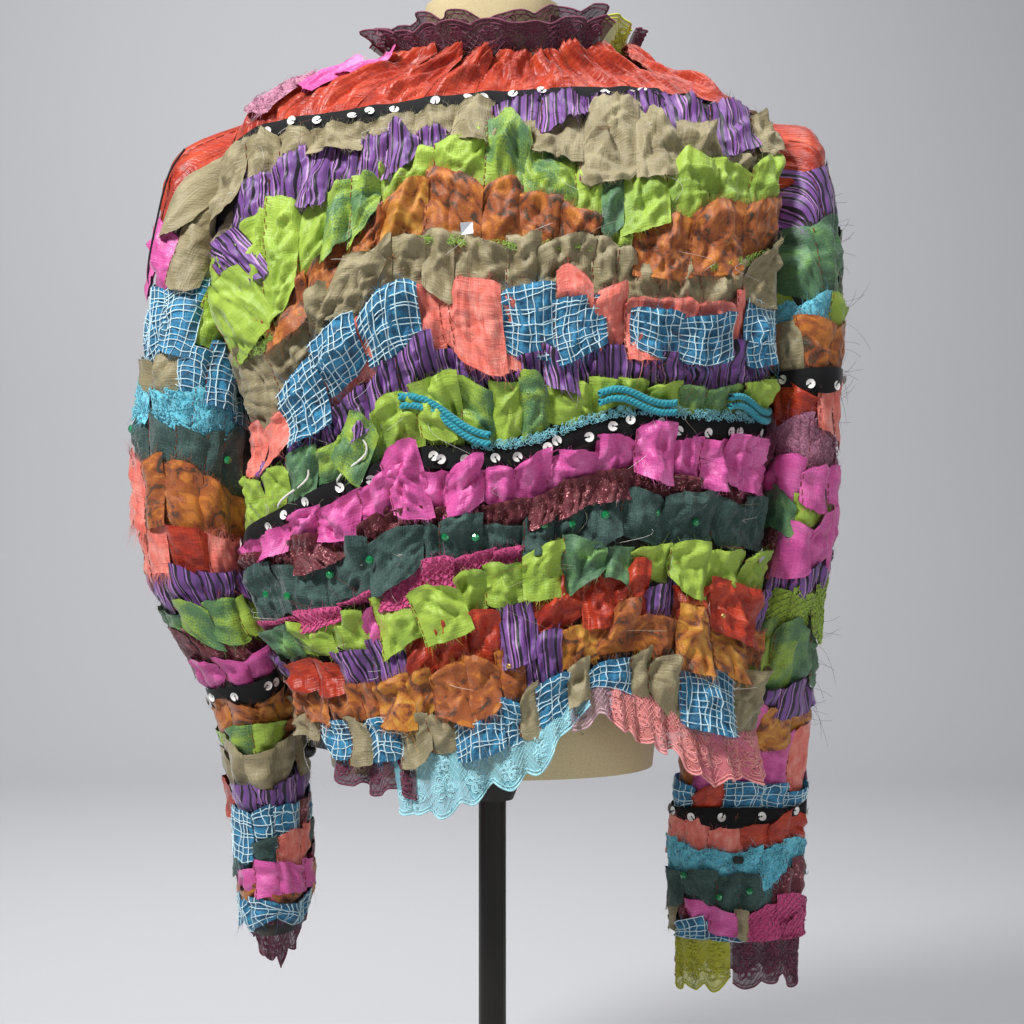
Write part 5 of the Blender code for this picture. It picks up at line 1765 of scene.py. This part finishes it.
def dress_form():
    """The linen form: rings through the frame's sections, its ends closed, with three seams down its back."""
    rows = [
        (FORM_BOTTOM, 122, 92, 80), (430, 125, 95, 84), (480, 122, 90, 80), (560, 110, 80, 72),
        (650, 130, 90, 86), (745, 146, 98, 98), (820, 150, 90, 84), (860, 155, 76, 68),
    ]
    for height in (889, 896, 903, 909, 914, 918, 922, 926):
        centre, half_width, behind, front = (float(v) for v in oval_sizes(float(height)))
        rows.append((height, half_width - centre - 6.8, behind - 6.8, front - 6.8))
    rows += [(940, 53, 42, 32), (FORM_TOP, 51, 43, 33)]
    table = np.array(rows, float)
    height = np.concatenate([np.linspace(FORM_BOTTOM, 860, 40), np.linspace(864, FORM_TOP, 40)])
    sizes = smooth(height, table[:, 0], table[:, 1:])[:, None]
    turn = np.radians(np.arange(0, 360, 4))[None]
    x = -sizes[..., 0] * power(np.cos(turn), SQUARENESS)
    y = -np.where(np.sin(turn) >= 0, sizes[..., 1], sizes[..., 2]) * power(np.sin(turn), SQUARENESS)
    groove = sum(np.exp(-(((np.degrees(turn) - at) / 1.6) ** 2)) for at in (62, 90, 118))
    shell = np.stack([x, y, height[:, None] + 0 * x], axis=-1)
    inward = unit(shell * (1, 1, 0)) * (0.7 * groove)[..., None]
    shell = shell - inward
    work = Work()
    places = np.stack(np.broadcast_arrays(turn * 0.12, height[:, None] / 1000), axis=-1)
    work.grid(shell, places, "linen", around=True)
    work.faces[-1] = work.faces[-1][:, ::-1]
    for ring, rim in ((shell[0], -1), (shell[-1], 1)):
        inner = ring.mean(0) + (ring - ring.mean(0)) * np.linspace(1, 0.02, 8)[:, None, None]
        work.grid(inner, (0.0, 0.0), "linen", around=True)
        if rim > 0:
            work.faces[-1] = work.faces[-1][:, ::-1]
    thing = work.make("form_torso_linen")
    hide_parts("form_torso")


def string():
    """The doubled black string's free run, along the frame's own route."""
    route = np.array(
        [
            (-231, -22, 861), (-241, -24, 845), (-247, -25, 826), (-251, -25, 808), (-255, -25, 790),
            (-258, -24, 772), (-258, -24, 762), (-255.5, -27, 757), (-254, -31, 764),
        ],
        float,
    )
    length = run_length(route)
    points = smooth(np.linspace(0, length[-1], 48), length, route) / 1000
    curve = bpy.data.curves.new("shoulder_string_cord", "CURVE")
    curve.dimensions = "3D"
    curve.bevel_depth = STRING_RADIUS / 1000
    curve.bevel_resolution = 3
    curve.use_fill_caps = True
    spline = curve.splines.new("POLY")
    spline.points.add(len(points) - 1)
    spline.points.foreach_set("co", np.concatenate([points, np.ones((len(points), 1))], axis=1).ravel())
    thing = put_in("shoulder_string_cord", curve)
    curve.materials.append(finish_of("black string"))
    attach(thing, "root")
    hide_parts("shoulder_string")


def plain_nodes():
    """Finishes of the frame's own nodes that stay in sight."""
    kept = {
        "back": "lining",
        "front_band_left": "black braid",
        "front_band_right": "black braid",
        "front_hem_band_left": "black braid",
        "front_hem_band_right": "black braid",
        "form_neck_cap": "dark paint",
        "stand_socket": "dark paint",
        "stand_pole": "dark paint",
        "stand_collar": "dark paint",
        "stand_base": "dark paint",
    }
    for node, finish in kept.items():
        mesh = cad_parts[node].data
        mesh.materials.clear()
        mesh.materials.append(finish_of(finish))


def studio():
    """A pale floor that curves up far behind, soft lights and the camera at the photograph's place."""
    run = np.concatenate([
        np.linspace(-6000, 2400, 10), 2400 + 900 * np.sin(np.radians(np.arange(9, 91, 9))),
    ])
    rise = np.concatenate([np.zeros(10), 900 - 900 * np.cos(np.radians(np.arange(9, 91, 9)))])
    run, rise = np.append(run, run[-1]), np.append(rise, 7000.0)
    x = np.array([-7000.0, 7000.0])[None]
    points = np.stack(np.broadcast_arrays(x, run[:, None], rise[:, None] - 0.5), axis=-1)
    work = Work()
    work.grid(points[:, ::-1], (0.0, 0.0), "pale floor")
    floor = work.make("floor")
    world = bpy.data.worlds.new("studio")
    bpy.context.scene.world = world
    world.use_nodes = True
    world.node_tree.nodes["Background"].inputs["Color"].default_value = colour("#C8CCD4")
    world.node_tree.nodes["Background"].inputs["Strength"].default_value = 0.25
    lights = (
        ("key", (-1.0, -1.2, 2.1), (0.0, 0.0, 0.62), 0.4, 54),
        ("fill", (1.6, -1.6, 0.9), (0.0, 0.0, 0.6), 1.3, 6),
        ("top", (0.6, -0.2, 2.4), (0.0, 0.0, 0.7), 0.8, 18),
        ("wall", (-0.5, 0.9, 2.2), (-0.4, 3.2, 0.9), 2.0, 38),
    )
    for name, place, aim, size, power_watts in lights:
        lamp = bpy.data.lights.new(name, "AREA")
        lamp.shape = "DISK"
        lamp.size = size
        lamp.energy = power_watts
        thing = put_in(name, lamp)
        direction = Vector(aim) - Vector(place)
        thing.location = place
        thing.rotation_euler = direction.to_track_quat("-Z", "Y").to_euler()
    camera = bpy.data.cameras.new("camera")
    camera.sensor_width = 36
    camera.lens = camera.sensor_width * FOCAL_PIXELS / PHOTO_PIXELS
    eye = put_in("camera", camera)
    eye.location = CAMERA_PLACE
    eye.rotation_euler = (np.pi / 2, 0, 0)
    bpy.context.scene.camera = eye
    bpy.context.scene.view_settings.view_transform = "Standard"


sequins = Work(False)
dress_back(sequins)
for side in ("left", "right"):
    dress_sleeve(side, sequins)
    dress_front(side)
dress_hem()
dress_cuffs()
dress_collar()
trim_rng = np.random.default_rng(61)
teal_cords(trim_rng)
fuzzy_trims(trim_rng)
stones_and_beads(trim_rng)
balls()
dress_form()
string()
plain_nodes()
sewn = sequins.make("sequins")
sewn = stitches.make("tuck_stitches")
studio()
